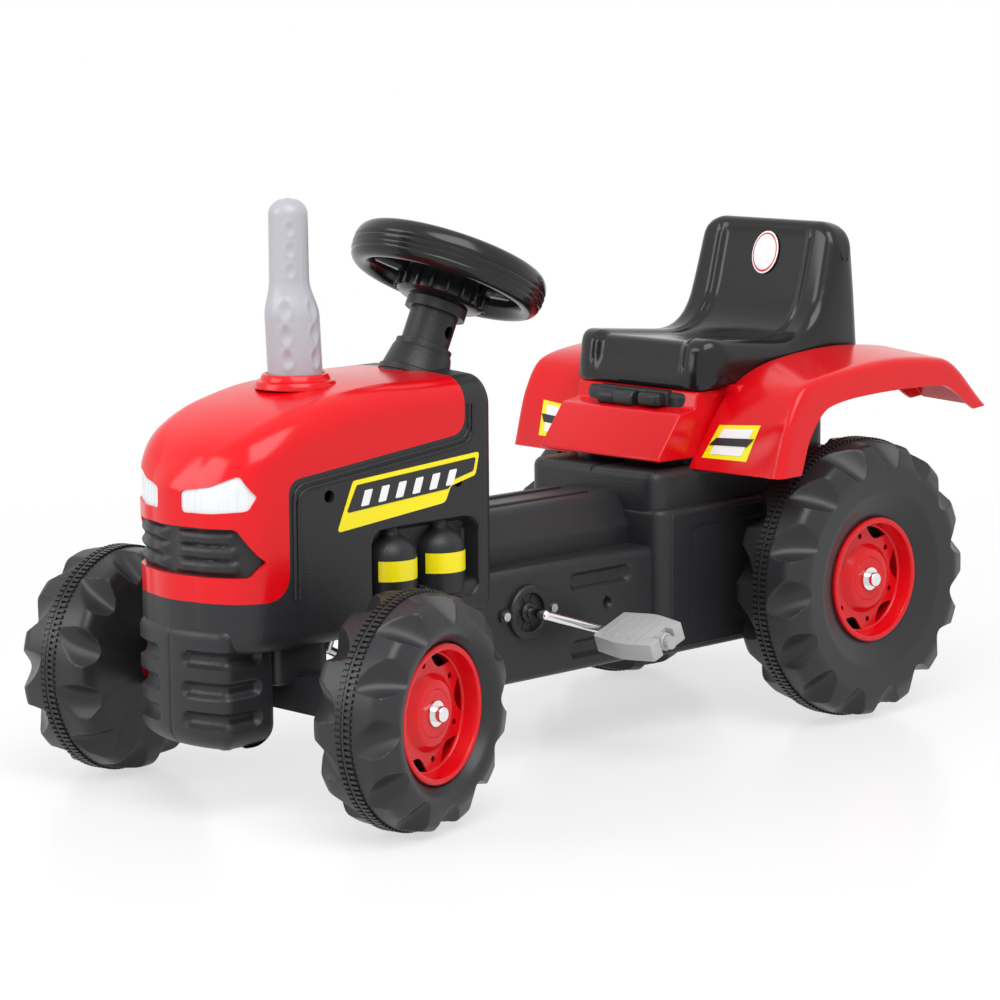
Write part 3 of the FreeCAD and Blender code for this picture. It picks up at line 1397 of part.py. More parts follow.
def crank_axle():
    """Bent steel rod: axle, two arms half a turn apart and a pin for each pedal."""
    arm_y = crank_arm_y()
    centre = V(CRANK_X, 0, CRANK_Z)
    pin_end = arm_y + PEDAL_START + PEDAL_LENGTH + PEDAL_CAP
    solids = [rod(centre - ACROSS * arm_y, centre + ACROSS * arm_y, CRANK_ROD_R)]
    for side in (1, -1):
        corner = centre + ACROSS * (side * arm_y)
        pin = pedal_pin(side)
        solids.append(rod(corner, pin + ACROSS * (side * arm_y), CRANK_ROD_R))
        solids.append(rod(pin + ACROSS * (side * arm_y), pin + ACROSS * (side * pin_end), CRANK_ROD_R))
        solids.append(Part.makeSphere(CRANK_ROD_R, corner))
        solids.append(Part.makeSphere(CRANK_ROD_R, pin + ACROSS * (side * arm_y)))
    return joined(*solids)


def pedal(side):
    """Barrel-shaped tread on a tube, free to turn on its pin."""
    start = crank_arm_y() + PEDAL_START
    stop = start + PEDAL_LENGTH
    pin = pedal_pin(side)
    middle = (start + stop) / 2
    top = PEDAL_THICK / 2
    plan = [
        (-PEDAL_END_HALF, start, PEDAL_ROUND),
        (PEDAL_END_HALF, start, PEDAL_ROUND),
        (PEDAL_HALF, middle, PEDAL_BOW_R),
        (PEDAL_END_HALF, stop, PEDAL_ROUND),
        (-PEDAL_END_HALF, stop, PEDAL_ROUND),
        (-PEDAL_HALF, middle, PEDAL_BOW_R),
    ]
    pad = plan_prism(plan, -top, top)
    hollow = plan_prism(plan, -top - SHELL, top - SHELL, SHELL)
    tread = pad.cut(hollow)
    bearing = rod(V(0, start, 0), V(0, stop, 0), PEDAL_TUBE_R)
    body = joined(tread, bearing).cut(rod(V(0, start, 0), V(0, stop, 0), CRANK_ROD_R + RUN))
    if side < 0:
        body = mirrored(body)
    body.rotate(V(), ACROSS, PEDAL_TILT)
    body.translate(pin)
    return body


def pedal_cap(side):
    """Push cap that keeps a pedal on its pin."""
    end = crank_arm_y() + PEDAL_START + PEDAL_LENGTH + PEDAL_CAP
    start = end - PEDAL_CAP + END_PLAY
    stop = end + PEDAL_CAP / 4
    pin = pedal_pin(side)
    socket = rod(V(0, start, 0), V(0, end, 0), CRANK_ROD_R + FIT)
    cap = rod(V(0, start, 0), V(0, stop, 0), PEDAL_CAP_R).cut(socket)
    if side < 0:
        cap = mirrored(cap)
    cap.translate(pin)
    return cap


def crank_bush():
    """Left flanged bush with a webbed hub and two screw ears."""
    wall = SILL_HALF
    centre = V(CRANK_X, 0, CRANK_Z)
    flange = rod(centre + ACROSS * wall, centre + ACROSS * (wall + CRANK_FLANGE), CRANK_FLANGE_R)
    barrel = rod(centre + ACROSS * (wall - BUSH_DEPTH), centre + ACROSS * wall, CRANK_BUSH_R)
    ears = []
    for step in (-EAR_REACH, EAR_REACH):
        spot = centre + V(step, wall, 0)
        ears.append(rod(spot, spot + ACROSS * (CRANK_FLANGE / 2), EAR_R))
        x0, x1 = sorted((CRANK_X, CRANK_X + step))
        ears.append(box(x0, x1, wall, wall + CRANK_FLANGE / 2, CRANK_Z - EAR_R, CRANK_Z + EAR_R))
    body = joined(flange, barrel, *ears)
    inner_end = ACROSS * (wall - BUSH_DEPTH)
    outer_end = ACROSS * (wall + CRANK_FLANGE)
    cuts = [rod(centre + inner_end, centre + outer_end, CRANK_ROD_R + RUN)]
    ring_r = (CRANK_HUB_R + CRANK_BUSH_R) / 2
    window_r = (CRANK_BUSH_R - CRANK_HUB_R) / 2 - SHELL / 2
    for k in range(BUSH_WINDOWS):
        angle = 2 * math.pi * k / BUSH_WINDOWS
        spot = centre + V(ring_r * math.cos(angle), 0, ring_r * math.sin(angle))
        cuts.append(rod(spot + inner_end + ACROSS * SHELL, spot + outer_end, window_r))
    for step in (-EAR_REACH, EAR_REACH):
        spot = centre + V(step, wall, 0)
        cuts.append(rod(spot, spot + ACROSS * CRANK_FLANGE, EAR_SCREW_R + FIT))
    return body.cut(cuts)


def crank_bush_screws():
    """Screws through the ears of both crank bushes."""
    screws = []
    start = SILL_HALF + CRANK_FLANGE / 2
    for step in (-EAR_REACH, EAR_REACH):
        spot = V(CRANK_X + step, 0, CRANK_Z)
        head = rod(spot + ACROSS * start, spot + ACROSS * (start + SCREW_HEAD), SCREW_HEAD_R)
        shank = rod(spot + ACROSS * (start - EAR_SCREW_LENGTH), spot + ACROSS * start, EAR_SCREW_R)
        screw = joined(head, shank)
        screws += [screw, mirrored(screw)]
    return Part.makeCompound(screws)


def pitch_radius(teeth):
    """Pitch radius of a sprocket."""
    return CHAIN_PITCH / (2 * math.sin(math.pi / teeth))


def sprocket(teeth, x, z, bore):
    """Toothed wheel with a hub, in the chain's plane."""
    radius = pitch_radius(teeth)
    centre = V(x, CHAIN_Y, z)
    half = ACROSS * (SPROCKET_THICK / 2)
    disc = rod(centre - half, centre + half, radius + TOOTH_RISE)
    cuts = []
    for k in range(teeth):
        angle = 2 * math.pi * k / teeth
        spot = centre + V(radius * math.cos(angle), 0, radius * math.sin(angle))
        cuts.append(rod(spot - half, spot + half, ROLLER_R + FIT))
    hub = rod(centre + half, centre + ACROSS * SPROCKET_HUB, SPROCKET_HUB_R)
    axle = rod(centre - ACROSS * SPROCKET_HUB, centre + ACROSS * SPROCKET_HUB, bore + FIT)
    return joined(disc.cut(cuts), hub).cut(axle)


def belt_face(first, first_r, second, second_r):
    """Face of the open belt outline round two circles in x and z, first one further forward."""
    run = first - second
    lean = math.asin((first_r - second_r) / run.Length)
    slope = math.atan2(run.z, run.x)
    edges = []
    points = []
    for turn in (math.pi / 2 - lean, -math.pi / 2 + lean):
        normal = V(math.cos(slope + turn), 0, math.sin(slope + turn))
        points.append((first + normal * first_r, second + normal * second_r))
    (top_a, top_b), (low_a, low_b) = points
    front = first + run * (first_r / run.Length)
    back = second - run * (second_r / run.Length)
    edges.append(Part.makeLine(top_b, top_a))
    edges.append(Part.Arc(top_a, front, low_a).toShape())
    edges.append(Part.makeLine(low_a, low_b))
    edges.append(Part.Arc(low_b, back, top_b).toShape())
    return Part.Face(Part.Wire(edges))


def drive_chain():
    """Chain loop: two rows of side plates astride the sprockets and rollers along the straight runs."""
    crank = V(CRANK_X, 0, CRANK_Z)
    axle = V(0, 0, REAR_WHEEL_R)
    big = pitch_radius(CRANK_TEETH)
    small = pitch_radius(REAR_TEETH)
    inner_side = SPROCKET_THICK / 2 + CHAIN_SIDE_GAP
    solids = []
    for side in (1, -1):
        outer = belt_face(crank, big + CHAIN_HALF_H, axle, small + CHAIN_HALF_H)
        inner = belt_face(crank, big - CHAIN_HALF_H, axle, small - CHAIN_HALF_H)
        ring = outer.cut(inner)
        ring.translate(V(0, CHAIN_Y + side * inner_side, 0))
        solids.append(ring.extrude(V(0, side * CHAIN_PLATE, 0)))
    run = crank - axle
    lean = math.asin((big - small) / run.Length)
    slope = math.atan2(run.z, run.x)
    for turn in (math.pi / 2 - lean, -math.pi / 2 + lean):
        normal = V(math.cos(slope + turn), 0, math.sin(slope + turn))
        start = axle + normal * small
        stop = crank + normal * big
        steps = int((stop - start).Length / CHAIN_PITCH)
        for k in range(2, steps - 2):
            spot = start + (stop - start) * (k / steps)
            low = spot + ACROSS * (CHAIN_Y - inner_side)
            solids.append(rod(low, low + ACROSS * (2 * inner_side), ROLLER_R))
    return joined(*solids)


def rear_axle():
    """Steel rod through the body that carries both rear wheels."""
    end = REAR_WHEEL_Y + RIM_HUB_TOP_T + END_PLAY + WASHER_THICK + AXLE_IN_CAP
    axle = rod(V(0, -end, REAR_WHEEL_R), V(0, end, REAR_WHEEL_R), AXLE_R)
    y = REAR_WHEEL_Y + DRIVE_PIN_T
    hole = rod(V(0, y, REAR_WHEEL_R - AXLE_R * 2), V(0, y, REAR_WHEEL_R + AXLE_R * 2), DRIVE_PIN_R + FIT)
    return axle.cut(hole)


def drive_pin():
    """Cross pin that keys the left rear wheel to the axle."""
    y = REAR_WHEEL_Y + DRIVE_PIN_T
    reach = HUB_SOCKET_R - 2 * SHELL
    return rod(V(0, y, REAR_WHEEL_R - reach), V(0, y, REAR_WHEEL_R + reach), DRIVE_PIN_R)


def driven_rim():
    """Rim with a slot across its inner hub for the drive pin."""
    reach = HUB_SOCKET_R - 2 * SHELL + GAP
    width = DRIVE_PIN_R + FIT
    slot = box(-width, width, -RIM_TUBE_END, DRIVE_PIN_T + DRIVE_PIN_R + FIT, -reach, reach)
    return rim().cut(slot)


def rear_bush():
    """Left flanged bush for the rear axle in the body's side."""
    wall = BASE_LOWER_HALF
    centre = V(0, 0, REAR_WHEEL_R)
    outer = AXLE_R + RUN + BUSH_WALL
    barrel = rod(centre + ACROSS * (wall - BUSH_DEPTH), centre + ACROSS * wall, outer)
    flange = rod(centre + ACROSS * wall, centre + ACROSS * (wall + BUSH_FLANGE), BUSH_FLANGE_R)
    bore = rod(centre + ACROSS * (wall - BUSH_DEPTH), centre + ACROSS * (wall + BUSH_FLANGE), AXLE_R + RUN)
    return joined(barrel, flange).cut(bore)


def rear_spacer():
    """Left tube on the rear axle between the bush and the wheel's hub."""
    start = BASE_LOWER_HALF + BUSH_FLANGE + END_PLAY
    stop = REAR_WHEEL_Y - RIM_TUBE_END - END_PLAY
    return tube(V(0, start, REAR_WHEEL_R), V(0, stop, REAR_WHEEL_R), AXLE_R + SPACER_WALL, AXLE_R + FIT)


# Assembly

def save_body():
    """Body halves and what is fixed to them."""
    save("body_left_half", body_half(1))
    save("body_right_half", body_half(-1))
    save("body_screws", body_screws())
    save("bonnet", bonnet())
    save("bonnet_screws", bonnet_screws())
    save("headlight_left", lamp(1))
    save("headlight_right", lamp(-1))
    save("exhaust_stack", exhaust())
    save("fender", fender())
    save("fender_screws", fender_screws())
    save("seat", seat())
    save("seat_screws", seat_screws())
    save("front_axle_beam", front_axle_beam())
    save("beam_screws", beam_screws())
    save("column_collar", column_collar())
    save("column_foot_bush", column_foot_bush())


def save_steering():
    """Steering wheel, column and linkage at the resting steering angle."""
    save("steering_wheel", turned(steering_wheel()))
    save("steering_wheel_cap", turned(steering_cap()))
    save("steering_sleeve", turned(steering_sleeve()))
    save("steering_shaft", turned(steering_shaft()))
    save("tie_rod", rest_tie_rod())


def save_front_wheels():
    """Knuckles, stub axles and wheels on both sides at the resting steering angle."""
    front_tyre = tyre(FRONT_WHEEL_R, FRONT_SCALLOPS)
    front_rim = rim()
    cap = wheel_end_cap(RIM_HUB_TOP_T + END_PLAY)
    for word, side in (("left", 1), ("right", -1)):
        pivot = side * KINGPIN_Y
        save("knuckle_" + word, steered(knuckle(side), pivot))
        save("kingpin_" + word, steered(kingpin(side), pivot))
        save("stub_axle_" + word, steered(stub_axle(side), pivot))
        spot = (WHEELBASE, FRONT_WHEEL_Y, FRONT_WHEEL_R, side)
        save("front_tyre_" + word, steered(place_wheel(front_tyre, *spot), pivot))
        save("front_rim_" + word, steered(place_wheel(front_rim, *spot), pivot))
        save("front_axle_cap_" + word, steered(place_wheel(cap, *spot), pivot))


def save_drive():
    """Rear axle with its wheels, the pedal crank, the pedals and the chain between them."""
    rear_tyre = tyre(REAR_WHEEL_R, REAR_SCALLOPS)
    cap = wheel_end_cap(RIM_HUB_TOP_T + END_PLAY)
    rims = {"left": driven_rim(), "right": rim()}
    for word, side in (("left", 1), ("right", -1)):
        spot = (0, REAR_WHEEL_Y, REAR_WHEEL_R, side)
        save("rear_tyre_" + word, place_wheel(rear_tyre, *spot))
        save("rear_rim_" + word, place_wheel(rims[word], *spot))
        save("rear_axle_cap_" + word, place_wheel(cap, *spot))
        save("rear_bush_" + word, rear_bush() if side > 0 else mirrored(rear_bush()))
        save("rear_spacer_" + word, rear_spacer() if side > 0 else mirrored(rear_spacer()))
        save("crank_bush_" + word, crank_bush() if side > 0 else mirrored(crank_bush()))
        save("pedal_" + word, pedal(side))
        save("pedal_cap_" + word, pedal_cap(side))
    save("crank_bush_screws", crank_bush_screws())
    save("rear_axle", rear_axle())
    save("drive_pin", drive_pin())
    save("rear_sprocket", sprocket(REAR_TEETH, 0, REAR_WHEEL_R, AXLE_R))
    save("crank_axle", crank_axle())
    save("crank_sprocket", sprocket(CRANK_TEETH, CRANK_X, CRANK_Z, CRANK_ROD_R))
    save("drive_chain", drive_chain())


def main():
    """Write every piece."""
    os.makedirs("parts", exist_ok=True)
    save_body()
    save_steering()
    save_front_wheels()
    save_drive()


main()
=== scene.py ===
"""Dressed ride-on pedal tractor: moulded shells, scooped wheels, seat, column and drive on its frame."""
import json
import logging
import math
from dataclasses import dataclass
from enum import Enum
from typing import Callable, Iterable, Sequence

import bmesh
import bpy
import numpy as np
from mathutils import Matrix, Vector


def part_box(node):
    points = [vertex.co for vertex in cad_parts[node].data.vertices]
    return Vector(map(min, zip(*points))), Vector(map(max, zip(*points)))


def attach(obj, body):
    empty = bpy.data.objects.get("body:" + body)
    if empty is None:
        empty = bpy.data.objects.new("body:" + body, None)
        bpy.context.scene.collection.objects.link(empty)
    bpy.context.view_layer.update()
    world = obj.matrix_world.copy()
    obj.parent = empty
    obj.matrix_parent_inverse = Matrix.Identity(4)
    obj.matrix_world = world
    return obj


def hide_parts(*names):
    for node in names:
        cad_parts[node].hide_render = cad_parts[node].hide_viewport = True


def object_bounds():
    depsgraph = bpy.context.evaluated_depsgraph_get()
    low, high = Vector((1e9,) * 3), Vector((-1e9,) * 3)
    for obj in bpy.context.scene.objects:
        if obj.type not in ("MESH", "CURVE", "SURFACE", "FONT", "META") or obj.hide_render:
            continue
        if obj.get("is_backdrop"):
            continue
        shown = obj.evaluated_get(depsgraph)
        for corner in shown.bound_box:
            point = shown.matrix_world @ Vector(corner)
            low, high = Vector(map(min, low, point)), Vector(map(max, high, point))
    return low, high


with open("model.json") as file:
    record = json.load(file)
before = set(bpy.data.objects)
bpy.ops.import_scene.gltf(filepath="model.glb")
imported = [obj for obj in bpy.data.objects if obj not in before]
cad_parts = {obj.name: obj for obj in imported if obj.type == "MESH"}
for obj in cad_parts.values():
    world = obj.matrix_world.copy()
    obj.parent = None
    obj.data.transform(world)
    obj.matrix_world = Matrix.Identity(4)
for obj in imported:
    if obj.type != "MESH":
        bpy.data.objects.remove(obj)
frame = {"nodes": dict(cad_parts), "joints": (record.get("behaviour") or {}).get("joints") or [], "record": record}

LOG = logging.getLogger("tractor")
MM = 0.001
Point = tuple[float, float]
Corner = tuple[float, float, float]
Socket = str | int
JOINTS: dict[str, dict] = {joint["name"]: joint for joint in frame["joints"]}
REAR_AXLE_X: float = JOINTS["rear_axle_turn"]["pos_m"][0]

# Sizes that several pieces share, in millimetres
TOWER_HALF = 82.0
STACK_X = 571.0
FLASKS_X = (524.0, 466.0)
BONNET_FOOT = (650.5, 292.0)
BONNET_BACK = (446.0, 313.0)


def spot(x: float, y: float, z: float) -> Vector:
    """Place given in millimetres ahead of the rear axle, left of the middle and above the floor.

    Args:
        x: Distance ahead of the rear axle.
        y: Distance to the tractor's left.
        z: Height above the floor.

    Returns:
        The place in metres in the part's frame.
    """
    return Vector((x * MM + REAR_AXLE_X, y * MM, z * MM))


def between(start: float, stop: float, share: float) -> float:
    """Value a share of the way from start to stop."""
    return start + (stop - start) * share


def arc(start: Vector, turn: Vector, stop: Vector, steps: int) -> list[Vector]:
    """Soft bend round a corner.

    Args:
        start: Where it starts.
        turn: The corner.
        stop: Where it stops.
        steps: Steps along it.

    Returns:
        The points, both ends included.
    """
    shares = [k / steps for k in range(steps + 1)]
    return [start * (1 - u) ** 2 + turn * (2 * u * (1 - u)) + stop * u ** 2 for u in shares]


def circle(x: float, z: float, radius: float, count: int) -> list[Corner]:
    """Corners of a circle for a region, none of them rounded.

    Args:
        x: First coordinate of the middle.
        z: Second coordinate of the middle.
        radius: Radius.
        count: Corners.

    Returns:
        The corners in order.
    """
    turns = [math.tau * k / count for k in range(count)]
    return [(x + radius * math.cos(turn), z + radius * math.sin(turn), 0.0) for turn in turns]


def lengths(line: Sequence[Vector]) -> list[float]:
    """Length along a line up to each of its points.

    Args:
        line: Points of the line.

    Returns:
        A length for each point.
    """
    runs = [0.0]
    for a, b in zip(line, line[1:]):
        runs.append(runs[-1] + (b - a).length)
    return runs


def rounded(corners: Sequence[Corner], steps: int = 6, closed: bool = True) -> list[Vector]:
    """Flat line through corners that are each rounded by their own radius.

    Args:
        corners: Two coordinates and a radius for each corner.
        steps: Steps round each corner.
        closed: Whether the last corner joins the first.

    Returns:
        The points of the line.
    """
    made: list[Vector] = []
    count = len(corners)
    for i, (a, b, radius) in enumerate(corners):
        here = Vector((a, b))
        if radius <= 0.0 or (not closed and i in (0, count - 1)):
            made.append(here)
            continue
        back = Vector(corners[i - 1][:2]) - here
        ahead = Vector(corners[(i + 1) % count][:2]) - here
        reach = min(radius / math.tan(back.angle(ahead) / 2), back.length * 0.49, ahead.length * 0.49)
        start = here + back.normalized() * reach
        stop = here + ahead.normalized() * reach
        made += arc(start, here, stop, steps)
    return made


def spaced(line: Sequence[Vector], step: float) -> list[Vector]:
    """Points along an open line, evenly spaced by about a step.

    Args:
        line: Points of the line.
        step: Distance between points.

    Returns:
        The points, both ends included.
    """
    runs = lengths(line)
    count = max(1, round(runs[-1] / step))
    made: list[Vector] = []
    k = 0
    for i in range(count + 1):
        want = runs[-1] * i / count
        while k < len(line) - 2 and runs[k + 1] < want:
            k += 1
        share = (want - runs[k]) / max(runs[k + 1] - runs[k], 1e-9)
        made.append(line[k].lerp(line[k + 1], min(1.0, share)))
    return made


class Curve:
    """Smooth line through stops that doesn't overshoot between them."""

    def __init__(self, stops: Sequence[Point]) -> None:
        """Work out the slope at each stop.

        Args:
            stops: Places and values, in rising order.
        """
        self.at = [stop[0] for stop in stops]
        self.value = [stop[1] for stop in stops]
        rise = [(b[1] - a[1]) / (b[0] - a[0]) for a, b in zip(stops, stops[1:])]
        inner = [0.0 if a * b <= 0 else 2 * a * b / (a + b) for a, b in zip(rise, rise[1:])]
        self.slope = [rise[0]] + inner + [rise[-1]]

    def __call__(self, at: float) -> float:
        """Value at a place, held beyond the ends.

        Args:
            at: The place.

        Returns:
            The value there.
        """
        at = min(max(at, self.at[0]), self.at[-1])
        k = max(i for i in range(len(self.at) - 1) if self.at[i] <= at)
        width = self.at[k + 1] - self.at[k]
        u = (at - self.at[k]) / width
        first = (1 + 2 * u) * (1 - u) ** 2 * self.value[k] + u * (1 - u) ** 2 * width * self.slope[k]
        return first + u * u * (3 - 2 * u) * self.value[k + 1] + u * u * (u - 1) * width * self.slope[k + 1]


class View(Enum):
    """Direction that a flat outline is seen along, by the two axes that it shows."""

    SIDE = (0, 2)
    FRONT = (1, 2)
    PLAN = (0, 1)


class Region:
    """Flat outline on the tractor in millimetres, seen from one of the views."""

    def __init__(self, view: View, corners: Sequence[Corner], steps: int = 6) -> None:
        """Round the corners.

        Args:
            view: Direction that it is seen along.
            corners: Two coordinates and a radius for each corner; x counts from the rear axle.
            steps: Steps round each corner.
        """
        self.view = view
        self.line = rounded(corners, steps)
        self.starts = np.array([tuple(p) for p in self.line])
        self.spans = np.roll(self.starts, -1, axis=0) - self.starts

    def depth(self, points: np.ndarray) -> np.ndarray:
        """How deep points lie inside the outline; negative outside.

        Args:
            points: Rows of x, y and z in millimetres.

        Returns:
            A depth for each point.
        """
        flat = points[:, list(self.view.value)]
        to = flat[:, None, :] - self.starts[None, :, :]
        share = (to * self.spans).sum(axis=2) / np.maximum((self.spans ** 2).sum(axis=1), 1e-12)
        off = to - np.clip(share, 0.0, 1.0)[:, :, None] * self.spans
        near = np.sqrt((off ** 2).sum(axis=2).min(axis=1))
        high = self.starts[:, 1] > flat[:, 1:2]
        stops = self.starts + self.spans
        crosses = high != (stops[:, 1] > flat[:, 1:2])
        rise = np.where(np.abs(self.spans[:, 1]) < 1e-12, 1e-12, self.spans[:, 1])
        reach = (flat[:, 1:2] - self.starts[:, 1]) / rise * self.spans[:, 0]
        ahead = flat[:, 0:1] < self.starts[:, 0] + reach
        inside = (crosses & ahead).sum(axis=1) % 2 == 1
        return np.where(inside, near, -near)


def ease(share: float) -> float:
    """Soft step from nought to one."""
    share = min(max(share, 0.0), 1.0)
    return share * share * (3 - 2 * share)


class Slot(Enum):
    """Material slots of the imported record."""

    BODY_BLACK = "body_black"
    BODY_RED = "body_red"
    TYRE_BLACK = "tyre_black"
    GLOSS_BLACK = "gloss_black"
    LAMP_CLEAR = "lamp_clear"
    STACK_GREY = "stack_grey"
    PEDAL_GREY = "pedal_grey"
    BRIGHT_STEEL = "bright_steel"
    STEEL = "steel"


class Side(Enum):
    """The tractor's two sides."""

    LEFT = 1
    RIGHT = -1

    @property
    def word(self) -> str:
        """Name of the side as node names have it."""
        return self.name.lower()


# Finishes


class Nodes:
    """A node tree with short calls for adding and joining nodes."""

    def __init__(self, tree: bpy.types.NodeTree) -> None:
        """Keep the tree and empty it."""
        self.tree = tree
        tree.nodes.clear()

    def add(self, kind: str, **settings: object) -> bpy.types.Node:
        """Add a node.

        Args:
            kind: Blender's node type.
            settings: Attributes of the node, or values of its inputs, with underscores for spaces.

        Returns:
            The node.
        """
        node = self.tree.nodes.new(kind)
        for name, value in settings.items():
            if hasattr(node, name):
                setattr(node, name, value)
            else:
                node.inputs[name.replace("_", " ")].default_value = value
        return node

    def join(self, source: bpy.types.Node, output: Socket, target: bpy.types.Node, entry: Socket) -> None:
        """Link a node's output to another node's input."""
        self.tree.links.new(source.outputs[output], target.inputs[entry])


def group_tree(name: str, inputs: dict[str, float], outputs: Sequence[str]) -> Nodes | None:
    """Start a shader node group, or find that it exists.

    Args:
        name: Name of the group.
        inputs: Named number inputs with their first values; a Vector input is always added.
        outputs: Named number outputs.

    Returns:
        The group's nodes, or None if the group was built before.
    """
    if name in bpy.data.node_groups:
        return None
    tree = bpy.data.node_groups.new(name, "ShaderNodeTree")
    tree.interface.new_socket("Vector", in_out="INPUT", socket_type="NodeSocketVector")
    for label, value in inputs.items():
        socket = tree.interface.new_socket(label, in_out="INPUT", socket_type="NodeSocketFloat")
        socket.default_value = value
    for label in outputs:
        tree.interface.new_socket(label, in_out="OUTPUT", socket_type="NodeSocketFloat")
    return Nodes(tree)


def moulded_grain() -> bpy.types.NodeTree:
    """Leathery mould grain: cell walls broken up by noise.

    Returns:
        A group with Scale and Break inputs, and Height and Mottle outputs.
    """
    nodes = group_tree("moulded_grain", {"Scale": 700.0, "Break": 0.35}, ("Height", "Mottle"))
    if nodes:
        start = nodes.add("NodeGroupInput")
        stop = nodes.add("NodeGroupOutput")
        cells = nodes.add("ShaderNodeTexVoronoi", feature="SMOOTH_F1", Smoothness=0.6)
        fine = nodes.add("ShaderNodeTexNoise", Detail=3.0, Roughness=0.6)
        wide = nodes.add("ShaderNodeTexNoise", Scale=34.0, Detail=4.0, Roughness=0.55)
        mix = nodes.add("ShaderNodeMath", operation="MULTIPLY_ADD")
        for target in (cells, fine):
            nodes.join(start, "Vector", target, "Vector")
            nodes.join(start, "Scale", target, "Scale")
        nodes.join(start, "Vector", wide, "Vector")
        nodes.join(fine, "Fac", mix, 0)
        nodes.join(start, "Break", mix, 1)
        nodes.join(cells, "Distance", mix, 2)
        nodes.join(mix, 0, stop, "Height")
        nodes.join(wide, "Fac", stop, "Mottle")
    return bpy.data.node_groups["moulded_grain"]


def handling_marks() -> bpy.types.NodeTree:
    """Faint scuffs and haze from handling: stretched streaks over soft patches.

    Returns:
        A group with Scale and Amount inputs, a Haze output about zero and a Tone output about one.
    """
    nodes = group_tree("handling_marks", {"Scale": 40.0, "Amount": 0.1}, ("Haze", "Tone"))
    if nodes:
        start = nodes.add("NodeGroupInput")
        stop = nodes.add("NodeGroupOutput")
        stretch = nodes.add("ShaderNodeMapping", Scale=(1.0, 0.6, 5.0), Rotation=(0.4, 0.2, 0.7))
        streak = nodes.add("ShaderNodeTexNoise", Detail=6.0, Roughness=0.62)
        patch = nodes.add("ShaderNodeTexNoise", Scale=9.0, Detail=2.0)
        level = nodes.add("ShaderNodeMath", operation="SUBTRACT")
        level.inputs[1].default_value = 0.5
        haze = nodes.add("ShaderNodeMath", operation="MULTIPLY")
        tone = nodes.add("ShaderNodeMath", operation="MULTIPLY_ADD")
        tone.inputs[1].default_value = 0.16
        tone.inputs[2].default_value = 0.92
        nodes.join(start, "Vector", stretch, "Vector")
        nodes.join(stretch, "Vector", streak, "Vector")
        nodes.join(start, "Scale", streak, "Scale")
        nodes.join(start, "Vector", patch, "Vector")
        nodes.join(streak, "Fac", level, 0)
        nodes.join(level, 0, haze, 0)
        nodes.join(start, "Amount", haze, 1)
        nodes.join(patch, "Fac", tone, 0)
        nodes.join(haze, 0, stop, "Haze")
        nodes.join(tone, 0, stop, "Tone")
    return bpy.data.node_groups["handling_marks"]


@dataclass(frozen=True)
class Finish:
    """A moulded or plated surface: colour with soft tone changes, hazed gloss and a fine grain.

    Attributes:
        name: Name of the material.
        colour: Linear base colour.
        roughness: Mean roughness.
        haze: How far handling marks change the roughness.
        grain: Grain cells per metre.
        depth: Bump strength of the grain.
        metallic: One for metal.
        coat: Clear gloss over the colour.
        specular: Specular level of the shader.
        ribs: Fine moulded ribs per metre across the tractor.
    """

    name: str
    colour: tuple[float, float, float]
    roughness: float
    haze: float = 0.08
    grain: float = 700.0
    depth: float = 0.05
    metallic: float = 0.0
    coat: float = 0.0
    specular: float = 0.5
    ribs: float = 0.0

    def material(self) -> bpy.types.Material:
        """Build the material, or find it.

        Returns:
            The finish as a material.
        """
        found = bpy.data.materials.get(self.name)
        if found:
            return found
        made = bpy.data.materials.new(self.name)
        made.use_nodes = True
        nodes = Nodes(made.node_tree)
        out = nodes.add("ShaderNodeOutputMaterial")
        shader = nodes.add("ShaderNodeBsdfPrincipled", Metallic=self.metallic, Coat_Weight=self.coat,
                           Coat_Roughness=0.06, Specular_IOR_Level=self.specular)
        place = nodes.add("ShaderNodeTexCoord")
        grain = nodes.add("ShaderNodeGroup", node_tree=moulded_grain(), Scale=self.grain)
        marks = nodes.add("ShaderNodeGroup", node_tree=handling_marks(), Amount=self.haze)
        for target in (grain, marks):
            nodes.join(place, "Object", target, "Vector")
        rough = nodes.add("ShaderNodeMath", operation="ADD", use_clamp=True)
        rough.inputs[1].default_value = self.roughness
        nodes.join(marks, "Haze", rough, 0)
        nodes.join(rough, 0, shader, "Roughness")
        tint = nodes.add("ShaderNodeMix", data_type="RGBA", blend_type="MULTIPLY")
        tint.inputs["Factor"].default_value = 1.0
        tint.inputs[6].default_value = (*self.colour, 1.0)
        nodes.join(marks, "Tone", tint, 7)
        nodes.join(tint, 2, shader, "Base Color")
        bump = nodes.add("ShaderNodeBump", Strength=self.depth, Distance=0.0006)
        nodes.join(grain, "Height", bump, "Height")
        if self.ribs:
            bands = nodes.add("ShaderNodeTexWave", bands_direction="Y", Scale=self.ribs / math.tau,
                              Distortion=0.0)
            ribbed = nodes.add("ShaderNodeBump", Strength=0.6, Distance=0.0012)
            nodes.join(place, "Object", bands, "Vector")
            nodes.join(bands, "Fac", ribbed, "Height")
            nodes.join(ribbed, "Normal", bump, "Normal")
        nodes.join(bump, "Normal", shader, "Normal")
        nodes.join(shader, "BSDF", out, "Surface")
        return made


